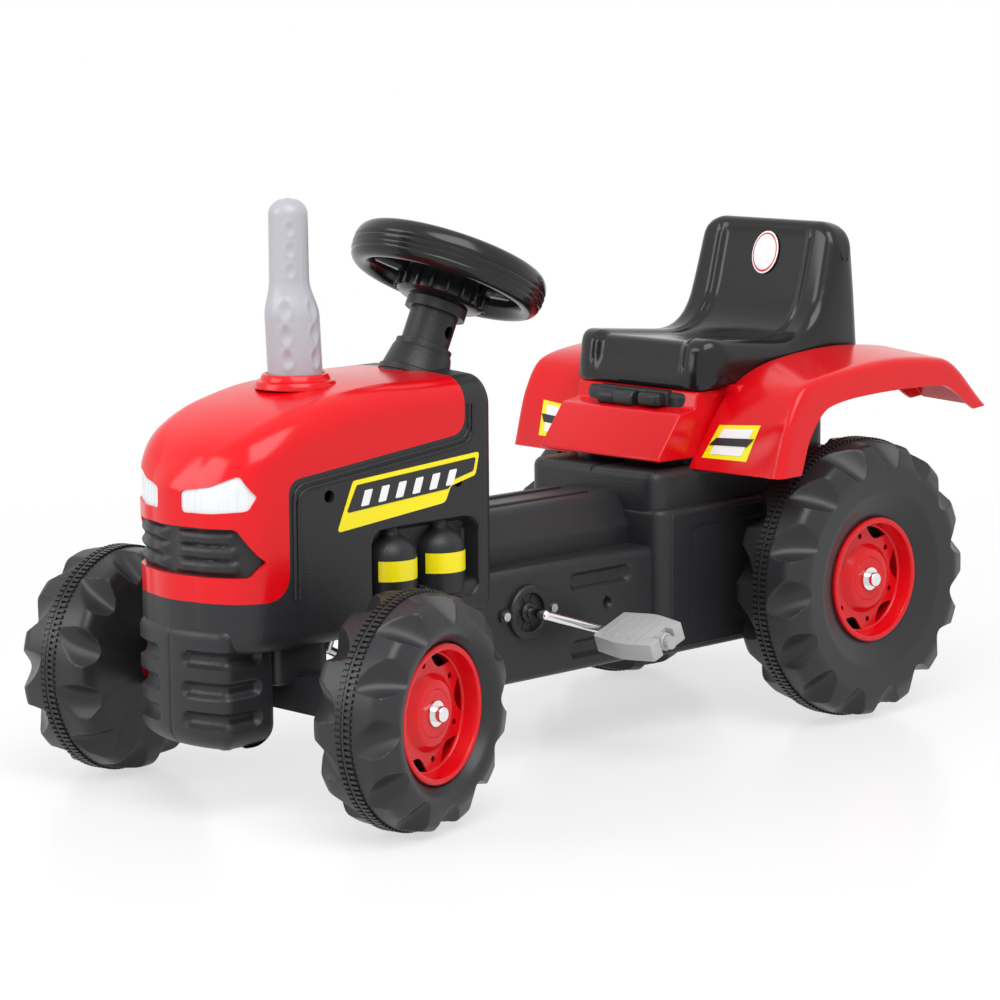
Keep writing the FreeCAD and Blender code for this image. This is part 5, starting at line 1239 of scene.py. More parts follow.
@dataclass
class Front:
    """Bonnet, lamps, grille and tower: one smooth form cut along their edges. Sizes in millimetres.

    Attributes:
        nose_x: Nose ahead of the rear axle.
        rear_x: Back of the tower.
        half: Half width of the tower.
        top: Height of the bonnet at the back.
        low: Height of the belly.
        low_round: Rounding of the belly's edge.
        rear_round: Rounding of the tower's back edge.
        bow: How far the nose bows forwards.
        crown: Rise of the bonnet's middle.
        side_steps: Steps up the side.
        sections: Setback from the nose, draw-in of the side, drop of the top and shoulder radius.
        wells: Places of the screw wells.
        well_r: Their radius.
        niche: Back, front, foot and head of the flasks' niche.
        niche_depth: Its depth.
        slat_low: Foot of the lowest slat of the grille.
        slat_high: Head of the highest slat.
        slat_pitch: Distance between slats.
    """

    nose_x: float = 711.0
    rear_x: float = 410.0
    half: float = TOWER_HALF
    top: float = 362.0
    low: float = 145.0
    low_round: float = 16.0
    rear_round: float = 12.0
    bow: float = 5.0
    crown: float = 2.0
    side_steps: int = 104
    sections: tuple[tuple[float, float, float, float], ...] = (
        (0.0, 54.0, 82.0, 18.0), (6.0, 34.0, 62.0, 26.0), (16.0, 18.0, 46.0, 30.0), (40.0, 4.0, 29.0, 30.0),
        (80.0, 0.0, 14.0, 28.0), (140.0, 0.0, 3.0, 26.0), (203.0, 0.0, 0.0, 24.0), (302.0, 0.0, 0.0, 24.0))
    wells: tuple[Point, ...] = ((606.0, 274.0), (455.0, 271.0))
    well_r: float = 5.6
    niche: tuple[float, float, float, float] = (429.0, 558.5, 165.0, 239.0)
    niche_depth: float = 16.0
    slat_low: float = 214.0
    slat_high: float = 251.2
    slat_pitch: float = 12.4

    def __post_init__(self) -> None:
        """Lay the smooth lines through the sections and the regions that cut the form."""
        runs = [math.sqrt(section[0]) for section in self.sections]
        self.draw, self.drop, self.shoulder = (
            Curve([(run, section[k]) for run, section in zip(runs, self.sections)]) for k in (1, 2, 3))
        self.bonnet = Region(View.SIDE, [(790, 190, 0), (BONNET_FOOT[0], 190, 26), (*BONNET_FOOT, 15),
                                         (*BONNET_BACK, 18), (BONNET_BACK[0], 430, 0), (790, 430, 0)], 8)
        self.lamp = Region(View.FRONT, [(15, 266, 5), (46, 266.5, 12), (71, 269, 5), (75, 281, 4),
                                        (66, 299.5, 4), (42, 289, 30), (15, 284.5, 5)])
        self.grille = Region(View.FRONT, [(-71, 212, 5), (71, 212, 5), (78, 224.6, 5), (64, 254, 5),
                                          (-64, 254, 5), (-78, 224.6, 5)])
        self.well_rings = [Region(View.SIDE, circle(x, z, self.well_r, 20)) for x, z in self.wells]
        x0, x1, z0, z1 = self.niche
        self.niche_ring = Region(View.SIDE, [(x0, z0, 18), (x1, z0, 18), (x1, z1, 18), (x0, z1, 18)])

    def rows(self) -> list[tuple[float, float, float]]:
        """Setback, inset and squeeze of each section from the nose's middle to the tower's back.

        Returns:
            A row for each section.
        """
        made = [(0.0, 0.0, share / 5) for share in range(5)]
        made += [(60.0 * (k / 30) ** 2, 0.0, 1.0) for k in range(31)]
        depth = self.nose_x - self.rear_x
        edge = depth - self.rear_round
        count = round((edge - 60.0) / 2.0)
        made += [(between(60.0, edge, k / count), 0.0, 1.0) for k in range(1, count + 1)]
        for degrees in (15, 30, 45, 60, 75, 90):
            turn = math.radians(degrees)
            inset = self.rear_round * (1 - math.cos(turn))
            made.append((edge + self.rear_round * math.sin(turn), inset, 1.0))
        return made + [(depth, self.rear_round, 0.6), (depth, self.rear_round, 0.0)]

    def section(self, setback: float, inset: float) -> list[Point]:
        """Left half of a section from the belly's middle to the bonnet's middle.

        Args:
            setback: Distance behind the nose.
            inset: How far the section is drawn in all round.

        Returns:
            Points as y and z.
        """
        run = math.sqrt(setback)
        half = self.half - self.draw(run) - inset
        top = self.top - self.drop(run) - inset
        low = self.low + inset
        bend, foot = self.shoulder(run), self.low_round
        made = [((half - foot) * k / 4, low) for k in range(4)]
        for k in range(6):
            turn = math.pi / 2 * k / 6
            made.append((half - foot + foot * math.sin(turn), low + foot - foot * math.cos(turn)))
        made += [(half, between(low + foot, top - bend, k / self.side_steps)) for k in range(self.side_steps)]
        for k in range(12):
            turn = math.pi / 2 * k / 12
            made.append((half - bend + bend * math.cos(turn), top - bend + bend * math.sin(turn)))
        for k in range(11):
            made.append(((half - bend) * (1 - k / 10), top + self.crown * (1 - (1 - k / 10) ** 2)))
        return made

    def skin(self) -> Mould:
        """Left half of the form, cut along the edges of all that lies on it.

        Returns:
            The skin.
        """
        shape = Mould()
        rows = self.rows()
        sections = [self.section(setback, inset) for setback, inset, _ in rows]
        tip = sections[5][self.side_steps][0]

        def place(i: int, j: int) -> Vector:
            """Place of a point of the form.

            Args:
                i: Its row.
                j: Its column.

            Returns:
                The place in metres.
            """
            setback, _, squeeze = rows[i]
            y, z = sections[i][j]
            y *= squeeze
            bulge = self.bow * max(0.0, 1 - (y / tip) ** 2) * math.exp(-setback / 8.0)
            return spot(self.nose_x - setback + bulge, y, z)

        shape.sheet(len(rows), len(sections[0]), place)
        shape.face_out(spot(560, 0, 250))
        for region in (self.bonnet, self.lamp, self.grille, *self.well_rings):
            shape.cut_along(region)
        return shape

    def louvre_depth(self, places: np.ndarray) -> np.ndarray:
        """Depth of the grille's surface with its rounded slats.

        Args:
            places: Rows of x, y and z in millimetres.

        Returns:
            A depth for each place.
        """
        y, z = np.abs(places[:, 1]), places[:, 2]
        up = z - self.slat_low
        wave = np.sin(np.pi * np.clip((up / self.slat_pitch) % 1.0, 0.0, 1.0)) ** 0.7
        ends = np.clip((y - 7.0) / 4.0, 0.0, 1.0) * np.clip((68.0 - up * 0.12 - y) / 5.0, 0.0, 1.0)
        rows = np.where((z > self.slat_low) & (z < self.slat_high), 1.0, 0.0)
        return 5.2 - 4.4 * wave * ends * rows

    def build(self) -> Mould:
        """Make the bonnet, lamps and grille.

        Returns:
            The black left half of the tower, for the body.
        """
        skin = self.skin()
        regions = (self.bonnet, self.lamp, self.grille)
        in_bonnet, in_lamp, in_grille = (skin.depths(region) for region in regions)
        in_wells = [skin.depths(ring) for ring in self.well_rings]
        faces = list(skin.bm.faces)
        red = [f for f in faces if in_bonnet[f] > 0 and in_lamp[f] < 0 and in_grille[f] < 0]
        lamp = [f for f in faces if in_bonnet[f] > 0 and in_lamp[f] > 0]
        grille = [f for f in faces if in_bonnet[f] > 0 and in_grille[f] > 0]
        black = [f for f in faces if in_bonnet[f] < 0 and all(depth[f] < 0 for depth in in_wells)]
        left = skin.keep(red)
        self.stack_seat(left)
        left.lip(4.5)
        left.both().merge(1e-6).piece("bonnet_shell", RED, "chassis", Slot.BODY_RED, ["bonnet"], 34.0)
        for side in Side:
            lens = skin.keep(lamp)
            lens.sink([1.6] * len(lens.bm.verts)).lip(4.0)
            lens = lens if side is Side.LEFT else lens.mirrored()
            lens.piece(f"lamp_lens_{side.word}", LENS, "chassis", Slot.LAMP_CLEAR,
                       [f"headlight_{side.word}"], 40.0)
        slats = skin.keep(grille)
        slats.sink(self.louvre_depth(slats.places()))
        slats.both().merge(1e-6).piece("grille_panel", BODY, "chassis", Slot.BODY_BLACK, (), 50.0)
        tower = skin.keep(black)
        places = tower.places()
        deep = self.niche_ring.depth(places)
        hollow = [self.niche_depth * ease(d / 6.0) if y > 80.5 else 0.0 for d, y in zip(deep, places[:, 1])]
        tower.sink(hollow).lip(5.0)
        self.flask_row(tower)
        return tower

    def stack_seat(self, left: Mould) -> None:
        """Raise the left half of the stepped collar that the exhaust stands in.

        Args:
            left: The bonnet's left half.
        """
        ring = Mould().turned([(36.0, 358.5), (35.6, 362.6), (34.0, 364.6), (31.0, 365.4), (30.2, 368.6),
                               (28.6, 370.4), (26.4, 370.8), (25.2, 369.6), (25.0, 360.0)], 64)
        left.take(ring.move(Matrix.Translation(spot(STACK_X, 0.0, 0.0))).left_half())

    def flask_row(self, tower: Mould) -> None:
        """Stand the two round flasks in the niche.

        Args:
            tower: The tower's left half.
        """
        profile = [(0.0, 171.0), (19.0, 171.0), (22.6, 173.0), (24.0, 177.0), (24.0, 186.0), (24.6, 188.0),
                   (24.6, 210.0), (24.2, 214.0), (22.6, 219.0), (19.0, 223.6), (13.6, 227.4),
                   (10.4, 229.4), (9.0, 232.0), (8.6, 236.0), (7.4, 239.6), (4.6, 241.8), (0.0, 242.4)]
        for x in FLASKS_X:
            flask = Mould().turned(profile, 48)
            tower.take(flask.move(Matrix.Translation(spot(x, self.half - self.niche_depth, 0.0))))


@dataclass
class Body:
    """The two moulded body halves behind and below the bonnet. Sizes in millimetres."""

    column: "Column"
    sill_half: float = 80.0
    base_half: float = 85.0
    base_lower_half: float = 91.0
    riser_half: float = 70.0
    scoop_rows: tuple[float, ...] = (89.0, 115.0, 141.0)
    scoop_r: float = 7.0
    scoop_depth: float = 6.0

    def sill(self) -> Mould:
        """Left sill with its long rounded dents.

        Returns:
            The sill.
        """
        outline = Region(View.SIDE, [(160, 76, 0), (440, 76, 34), (494, 156, 18), (494, 181, 0),
                                     (160, 181, 0)], 8)
        dents = []
        for z in (97.0, 160.0):
            long_dent = [(232, z - 9, 8), (312, z - 9, 8), (312, z + 9, 8), (232, z + 9, 8)]
            dents.append((Region(View.SIDE, long_dent), 5.0))
        dents.append((Region(View.SIDE, circle(263.0, 136.0, 6.0, 16)), 9.0))
        return Mould().panel(outline, self.sill_half, 0.0, 7.0, 2.0, dents)

    def tunnel(self) -> Mould:
        """Left half of the ridge between the seat base and the tower.

        Returns:
            The ridge.
        """
        shape = Mould()
        line = rounded([(0, 170, 0), (50, 170, 0), (50, 198, 9), (34, 229, 16), (0, 229, 0)], 8)
        shape.plate([spot(160, p.x, p.y) for p in line], Vector((0.27, 0.0, 0.0)))
        groove = rounded([(228, 14, 6), (404, 14, 6), (404, 22, 4), (228, 22, 4)], 5)
        shape.plate([spot(p.x, p.y, 226) for p in groove], Vector((0.0, 0.0, 0.0052)), 0.0016)
        return shape.close()

    def block(self, front: float, rear: float, half: float, low: float, high: float, edge: float) -> Mould:
        """Left half of a block of the seat base, rounded in plan and along its rims.

        Args:
            front: Its front ahead of the rear axle.
            rear: Its back.
            half: Half width.
            low: Lower height.
            high: Upper height.
            edge: Rounding of the rims.

        Returns:
            The block.
        """
        shape = Mould()
        line = rounded([(front, 0, 0), (front, half, 18), (rear, half, 16), (rear, 0, 0)], 8)
        shape.plate([spot(p.x, p.y, low) for p in line], Vector((0.0, 0.0, (high - low) * MM)), edge * MM, 3)
        return shape.close()

    def base_side(self) -> Mould:
        """Left side wall of the seat base with its shallow panel and the parting bead.

        Returns:
            The wall.
        """
        outline = Region(View.SIDE, [(-56, 80, 6), (190, 80, 6), (190, 211, 6), (-56, 211, 6)])
        panel = Region(View.SIDE, [(40, 94, 9), (160, 94, 9), (160, 195, 9), (40, 195, 9)])
        return Mould().panel(outline, self.base_lower_half + 0.8, 80.0, 3.0, 2.5, [(panel, 2.4)])

    def chin(self) -> Mould:
        """Left half of the scooped guard below the nose.

        Returns:
            The guard.
        """
        front = [Vector((718.0 - 14.0 * (y / 60.0) ** 2, y)) for y in range(0, 44, 4)]
        bend = rounded([(710.6, 43.6, 0), (704.0, 60.0, 22), (652.0, 60.0, 6), (649.0, 40.0, 0)], 10, False)
        line = spaced(front + bend[1:], 1.7)
        outward = []
        for i in range(len(line)):
            along = (line[min(i + 1, len(line) - 1)] - line[max(i - 1, 0)]).normalized()
            outward.append(Vector((-along.y, along.x)) if i else Vector((1.0, 0.0)))
        outward = [n if n.dot(Vector((p.x - 670.0, p.y))) > 0 else -n for n, p in zip(outward, line)]
        heights: list[tuple[float, float]] = [(61.0, 26.0)]
        for turn in (math.radians(degrees) for degrees in range(90, -1, -10)):
            heights.append((81.0 - 20.0 * math.sin(turn), 20.0 * (1 - math.cos(turn))))
        heights += [(81.0 + 1.7 * k, 0.0) for k in range(1, 46)]
        for turn in (math.radians(degrees) for degrees in range(0, 91, 15)):
            heights.append((159.0 + 9.0 * math.sin(turn), 9.0 * (1 - math.cos(turn))))
        heights.append((171.0, 24.0))
        runs = lengths(line)
        side_end = next(run for run, p in zip(runs, line) if p.x < 668.0 and p.y > 55.0)

        def place(i: int, j: int) -> Vector:
            """Place of a point of the guard.

            Args:
                i: Its row.
                j: Its column.

            Returns:
                The place in metres.
            """
            z, inset = heights[i]
            scoop = 0.9 if j == 0 else 0.0
            along = max(22.0 - runs[j], 0.0, runs[j] - side_end + 6.0)
            for middle in self.scoop_rows:
                off = math.hypot(along, z - middle)
                if off < self.scoop_r:
                    scoop = max(scoop, self.scoop_depth * (1 - (off / self.scoop_r) ** 2) ** 0.6)
            flat = line[j] - outward[j] * (inset + scoop)
            return spot(flat.x, max(flat.y, 0.0), z)

        shape = Mould()
        shape.sheet(len(heights), len(line), place)
        return shape.face_out(spot(670, 0, 115))

    def saddle(self) -> Mould:
        """Left half of the saddle under the tower that the axle beam sits in.

        Returns:
            The saddle.
        """
        shape = Mould()
        line = rounded([(590, 0, 0), (590, 64, 14), (652, 64, 10), (652, 0, 0)], 6)
        shape.plate([spot(p.x, p.y, 112) for p in line], Vector((0.0, 0.0, 0.04)), 0.005, 3)
        return shape.close()

    def build(self, tower: Mould) -> None:
        """Put both halves together.

        Args:
            tower: The tower's left half.
        """
        left = Mould()
        for shape in (tower, self.sill(), self.tunnel(), self.chin(), self.base_side(),
                      self.block(205.0, -62.0, self.base_lower_half, 76.0, 215.0, 6.0),
                      self.block(204.0, -60.0, self.base_half, 190.0, 250.0, 8.0),
                      self.block(144.0, -58.0, self.riser_half, 236.0, 318.0, 6.0),
                      self.column.neck_half(), self.saddle()):
            left.take(shape)
        right = left.mirrored()
        left.piece("body_left_shell", BODY, "chassis", Slot.BODY_BLACK, ["body_left_half"], 40.0)
        right.piece("body_right_shell", BODY, "chassis", Slot.BODY_BLACK, ["body_right_half"], 40.0)
        self.beads()

    def beads(self) -> None:
        """Lay the double bead along the bonnet's edge on both sides of the tower."""
        shape = Mould()
        for off in (5.0, 9.5):
            foot, back = (Vector(corner) - Vector((off, off)) for corner in (BONNET_FOOT, BONNET_BACK))
            line = rounded([(foot.x, 190, 0), (*foot, 15), (*back, 18 + off), (back.x, 338, 0)], 8, False)
            shape.bead([spot(p.x, TOWER_HALF, p.y) for p in spaced(line, 4.0)], 1.7)
        shape.both().close().piece("tower_beads", BODY, "chassis", Slot.BODY_BLACK, (), 60.0)


# Seat, fender, column and stack


@dataclass
class Column:
    """Steering neck, wheel and hub on the leaning column. Sizes in millimetres."""

    base_x: float = 420.0
    base_z: float = 377.0
    tilt: float = 25.3
    rest_turn: float = 13.0
    plane: float = 78.0
    rim_r: float = 79.5
    rim_half: Point = (11.5, 18.0)
    hub_r: float = 40.0
    spoke_half: float = 13.0
    spokes: Corner = (90.0, 210.0, 330.0)
    grooves: Corner = (-9.0, -3.5, 2.0)
    ribs: int = 18

    def stand(self) -> Matrix:
        """Matrix that stands a shape on the column, its z up the shaft."""
        lean = Matrix.Rotation(-math.radians(self.tilt), 4, "Y")
        return Matrix.Translation(spot(self.base_x, 0.0, self.base_z)) @ lean

    def neck_half(self) -> Mould:
        """Left half of the flared neck in the tower's top."""
        neck = Mould().turned([(48.0, -62.0), (40.0, -50.0), (35.0, -38.0), (33.0, -28.0), (33.8, -27.0),
                               (33.6, -22.0), (31.6, -21.0), (27.6, -2.0), (26.6, 0.0), (12.0, 0.0)], 48)
        return neck.move(self.stand()).left_half()

    def wheel(self) -> Mould:
        """Steering wheel: grooved oval rim, deep ribbed hub and three spokes.

        Returns:
            The wheel on its column.
        """
        shape = Mould()
        wide, high = self.rim_half
        section = []
        for k in range(72):
            turn = math.tau * k / 72
            across = wide * math.copysign(abs(math.cos(turn)) ** 0.9, math.cos(turn))
            up = high * math.copysign(abs(math.sin(turn)) ** 0.9, math.sin(turn))
            for groove in self.grooves:
                if across > 0:
                    across -= 1.3 * math.exp(-((up - groove) / 1.1) ** 2)
            section.append((self.rim_r + across, self.plane + up))
        shape.turned(section, 96, True)
        shape.turned([(6.0, 45.4), (27.0, 45.4), (28.0, 46.4), (36.5, 47.0), (self.hub_r, 50.0),
                      (self.hub_r + 0.6, 68.0), (self.hub_r - 1.0, 76.0), (35.0, 81.0), (28.0, 82.8),
                      (6.0, 82.8)], 72)
        web = Mould()
        web.block(Vector((0.036, -0.0013, 0.050)), Vector((0.0438, 0.0013, 0.074)), 0.0008, 2)
        for k in range(self.ribs):
            rib = Mould().take(web)
            shape.take(rib.move(Matrix.Rotation(math.tau * k / self.ribs, 4, "Z")))
        for angle in self.spokes:
            spoke = Mould()
            half = self.spoke_half * MM
            spoke.block(Vector((0.030, -half, 0.0722)), Vector((0.0735, half, 0.0838)), 0.0042, 4)
            spoke.block(Vector((0.034, -0.0045, 0.0600)), Vector((0.0715, 0.0045, 0.0760)), 0.0018, 2)
            shape.take(spoke.move(Matrix.Rotation(math.radians(angle), 4, "Z")))
        return shape.move(self.stand() @ Matrix.Rotation(math.radians(self.rest_turn), 4, "Z"))

    def build(self) -> None:
        """Make the wheel."""
        self.wheel().piece("steering_wheel_grooved", GLOSS, "steering", Slot.GLOSS_BLACK,
                           ["steering_wheel"], 38.0)


@dataclass
class Fender:
    """The moulding over both rear wheels, with its deck and front skirt. Sizes in millimetres.

    Attributes:
        inner: Inner line of the left wing's top from front to tail.
        crease: Its outer line.
        arch: Lower edge of its outer skirt.
        flange: Depth of its inner flange.
    """

    inner: tuple[Corner, ...] = (
        (150.0, 77.0, 249.0), (121.0, 77.5, 293.0), (92.0, 84.0, 328.0), (50.0, 92.0, 345.0),
        (-30.0, 94.0, 352.0), (-108.0, 95.0, 346.0), (-176.0, 96.0, 291.0))
    crease: tuple[Corner, ...] = (
        (134.5, 178.0, 246.0), (118.6, 178.0, 301.0), (96.0, 178.0, 330.5), (52.8, 178.0, 339.0),
        (-30.5, 178.0, 344.0), (-108.5, 178.0, 338.0), (-176.0, 178.0, 287.0))
    arch: tuple[Corner, ...] = (
        (104.0, 178.0, 246.5), (91.0, 178.0, 281.0), (64.0, 178.0, 307.0), (20.0, 178.0, 313.0),
        (-34.0, 178.0, 314.5), (-100.0, 178.0, 313.0), (-154.0, 178.0, 285.0))
    flange: float = 22.0
    wall: float = 3.0
    half: float = 78.0

    def lines(self) -> list[list[Curve]]:
        """Smooth inner, crease and arch lines, as curves of x, y and z."""
        return [[Curve([(float(i), stop[axis]) for i, stop in enumerate(line)]) for axis in range(3)]
                for line in (self.inner, self.crease, self.arch)]

    def wing(self) -> Mould:
        """Left wing with its rounded crease, skirt and inner flange.

        Returns:
            The wing.
        """
        lines = self.lines()
        rows = 110
        shape = Mould()

        def line_at(which: int, share: float) -> Vector:
            """Point of a line."""
            return Vector([curve(share) for curve in lines[which]])

        def across(i: int) -> list[Vector]:
            """Points across the wing in a row.

            Args:
                i: The row.

            Returns:
                The points in millimetres.
            """
            share = 6.0 * i / (rows - 1)
            inner, crease, arch = (line_at(k, share) for k in range(3))
            drop = (arch - crease).normalized() * self.flange * ease(share / 1.2)
            turns = [inner + Vector((drop.x, 0.0, drop.z)) + Vector((-0.01, 0.0, -0.01)), inner, crease, arch]
            made = [turns[0]]
            for k, radius in ((1, 6.0), (2, 9.0)):
                back, ahead = turns[k - 1] - turns[k], turns[k + 1] - turns[k]
                start = turns[k] + back.normalized() * min(radius, back.length * 0.45)
                stop = turns[k] + ahead.normalized() * min(radius, ahead.length * 0.45)
                if k == 2:
                    made += [made[-1].lerp(start, m / 8) for m in range(1, 8)]
                made += arc(start, turns[k], stop, 6)
            return made + [made[-1].lerp(arch, m / 3) for m in range(1, 4)]

        table = [across(i) for i in range(rows)]
        shape.sheet(rows, len(table[0]), lambda i, j: spot(*table[i][j]))
        shape.face_out(spot(0, 135, 200))
        bmesh.ops.solidify(shape.bm, geom=list(shape.bm.faces), thickness=self.wall * MM)
        return shape.close()

    def film(self, name: str, finish: Finish, across: Point, along: Point, rise: float) -> None:
        """Lay a plain film on the front face of both wings.

        Args:
            name: Name of the piece.
            finish: Its finish.
            across: Where it starts and ends between the inner line and the crease.
            along: Where it starts and ends up the lines.
            rise: Height above the face.
        """
        lines = self.lines()

        def place(i: int, j: int) -> Vector:
            """Place of a point of the film.

            Args:
                i: Its row.
                j: Its column.

            Returns:
                The place in metres.
            """
            up = between(*along, i / 10)
            inner, crease = (Vector([curve(up) for curve in lines[k]]) for k in (0, 1))
            at = inner.lerp(crease, between(*across, j / 10) + 0.06 * (i / 10))
            return spot(at.x + rise * 0.86, at.y, at.z + rise * 0.5)

        shape = Mould()
        shape.sheet(11, 11, place)
        shape.face_out(spot(0, 130, 200))
        shape.both().piece(name, finish, "chassis", Slot.BODY_RED)

    def latch(self) -> None:
        """Black block with a barrel under the seat's front edge."""
        shape = Mould()
        shape.block(spot(128, -46, 303), spot(147, 46, 319), 0.003, 3)
        shape.block(spot(140, 16, 304), spot(158, 44, 317), 0.004, 4)
        barrel = Mould().turned([(0.0, -36.0), (7.0, -36.0), (8.6, -34.6), (8.6, -15.0), (8.0, -14.0),
                                 (8.6, -13.0), (8.6, 8.6), (7.0, 10.0), (0.0, 10.0)], 32)
        turn = Matrix.Rotation(-math.pi / 2, 4, "X")
        shape.take(barrel.move(Matrix.Translation(spot(151, 0, 309)) @ turn))
        shape.close().piece("seat_latch", BODY, "chassis", Slot.BODY_BLACK)

    def middle(self) -> Mould:
        """Deck under the seat with the sloping front skirt.

        Returns:
            The deck.
        """
        shape = Mould()
        line = rounded([(196, 258, 3), (163, 301, 9), (142, 304, 4), (139, 320, 4), (-98, 321, 8),
                        (-112, 296, 4), (-102, 296, 0), (-96, 306, 0), (104, 306, 0), (116, 258, 0)], 6)
        push = Vector((0.0, 2 * self.half * MM, 0.0))
        shape.plate([spot(p.x, -self.half, p.y) for p in line], push, 0.005, 4)
        for side in (1, -1):
            low, high = sorted((side * (self.half - 6.0), side * 100.0))
            shape.block(spot(-70, low, 312), spot(104, high, 325), 0.003, 3)
        return shape.close()

    def build(self) -> None:
        """Put the fender together."""
        self.latch()
        self.film("wing_film_yellow", YELLOW, (0.10, 0.60), (0.22, 0.86), 0.5)
        self.film("wing_film_white", WHITE, (0.17, 0.53), (0.30, 0.78), 0.9)
        self.film("wing_film_black", INK, (0.13, 0.57), (0.46, 0.60), 1.3)
        whole = self.wing().both().take(self.middle())
        whole.piece("fender_shell", RED, "chassis", Slot.BODY_RED, ["fender"], 36.0)


@dataclass
class Seat:
    """Moulded seat with bolsters beside a sunk middle panel. Sizes in millimetres."""

    half: float = 90.0
    top: float = 471.0
    deck: float = 321.0
    edge: float = 13.0
    panel_half: float = 55.0
    panel_depth: float = 3.4
    seam_depth: float = 1.5
    top_corner: float = 30.0
    front_corner: float = 24.0
    back_lean: float = 14.7
    badge_half: Point = (16.5, 21.5)
    outline: tuple[Corner, ...] = (
        (141.0, 321.0, 2.0), (140.0, 338.0, 8.0), (135.0, 370.0, 16.0), (88.0, 366.0, 40.0),
        (-18.0, 357.0, 60.0), (-48.0, 471.0, 12.0), (-76.0, 467.0, 12.0), (-88.0, 330.0, 8.0),
        (-90.0, 321.0, 2.0))

    def build(self) -> None:
        """Loft the seat across its width."""
        ring = rounded(self.outline, 8)
        line = spaced(ring + ring[:1], 4.0)
        count = len(line) - 1
        line = line[:count]
        outward = []
        for i in range(count):
            along = (line[(i + 1) % count] - line[i - 1]).normalized()
            outward.append(Vector((along.y, -along.x)))
        middle = Vector((20.0, 340.0))
        turn = sum(1 if n.dot(p - middle) > 0 else -1 for n, p in zip(outward, line))
        outward = [n if turn > 0 else -n for n in outward]
        peak = max(range(count), key=lambda i: line[i].y + line[i].x * 0.2)
        runs = lengths(line)
        sides = [self.half * k / 45 for k in range(-45, 46)]

        def place(i: int, j: int) -> Vector:
            """Place of a point of the seat.

            Args:
                i: Its row.
                j: Its column.

            Returns:
                The place in metres.
            """
            i %= count
            y = sides[j]
            over = max(0.0, abs(y) - (self.half - self.edge))
            inset = self.edge - math.sqrt(max(0.0, self.edge ** 2 - over ** 2))
            if 10.0 < runs[i] < runs[peak] - 6.0:
                fade = ease((runs[i] - 10.0) / 14.0) * ease((runs[peak] - 6.0 - runs[i]) / 16.0)
                inset += self.panel_depth * fade * ease((self.panel_half + 4.0 - abs(y)) / 9.0)
                inset += self.seam_depth * fade * math.exp(-((abs(y) - self.panel_half - 5.0) / 1.5) ** 2)
            flat = line[i] - outward[i] * inset
            x, z = flat.x, flat.y
            bend = max(0.0, abs(y) - (self.half - self.top_corner))
            crown = self.top_corner - math.sqrt(max(0.0, self.top_corner ** 2 - bend ** 2))
            if z > 400.0:
                z = 400.0 + (z - 400.0) * (self.top - crown - 400.0) / (self.top - 400.0)
            bend = max(0.0, abs(y) - (self.half - self.front_corner))
            corner = self.front_corner - math.sqrt(max(0.0, self.front_corner ** 2 - bend ** 2))
            if x > 70.0:
                x = 70.0 + (x - 70.0) * (141.0 - corner * 0.8 - 70.0) / 71.0
            flare = 1.6 * ease((self.deck + 9.0 - z) / 5.0)
            return spot(x, y + math.copysign(flare, y) if abs(y) > self.half - 1.0 else y, z)

        shape = Mould()
        shape.sheet(count + 1, len(sides), place)
        shape.merge(1e-6)
        for side in (1, -1):
            end = [edge for edge in shape.bm.edges if edge.is_boundary and edge.verts[0].co.y * side > 0]
            bmesh.ops.triangle_fill(shape.bm, edges=end, use_beauty=True, use_dissolve=False)
        shape.close().piece("seat_moulding", GLOSS, "chassis", Slot.GLOSS_BLACK, ["seat"], 40.0)
        self.badge()

    def badge(self) -> None:
        """Lay a plain white oval with a red line on the backrest."""
        lean = Matrix.Rotation(math.radians(-self.back_lean), 4, "Y")
        place = Matrix.Translation(spot(-41.2, 4.0, 437.0)) @ lean
        turns = [math.tau * k / 40 for k in range(40)]
        for name, finish, grow, rise in (("seat_badge_place", WHITE, 1.0, 0.0),
                                         ("seat_badge_line", RED, 0.92, 0.25),
                                         ("seat_badge_middle", WHITE, 0.84, 0.5)):
            wide, high = (half * grow for half in self.badge_half)
            ring = [Vector((rise, wide * math.cos(turn), high * math.sin(turn))) for turn in turns]
            shape = Mould()
            shape.plate([point * MM for point in ring], Vector((0.0010, 0.0, 0.0)), 0.0003)
            shape.move(place).close().piece(name, finish, "chassis", Slot.GLOSS_BLACK)


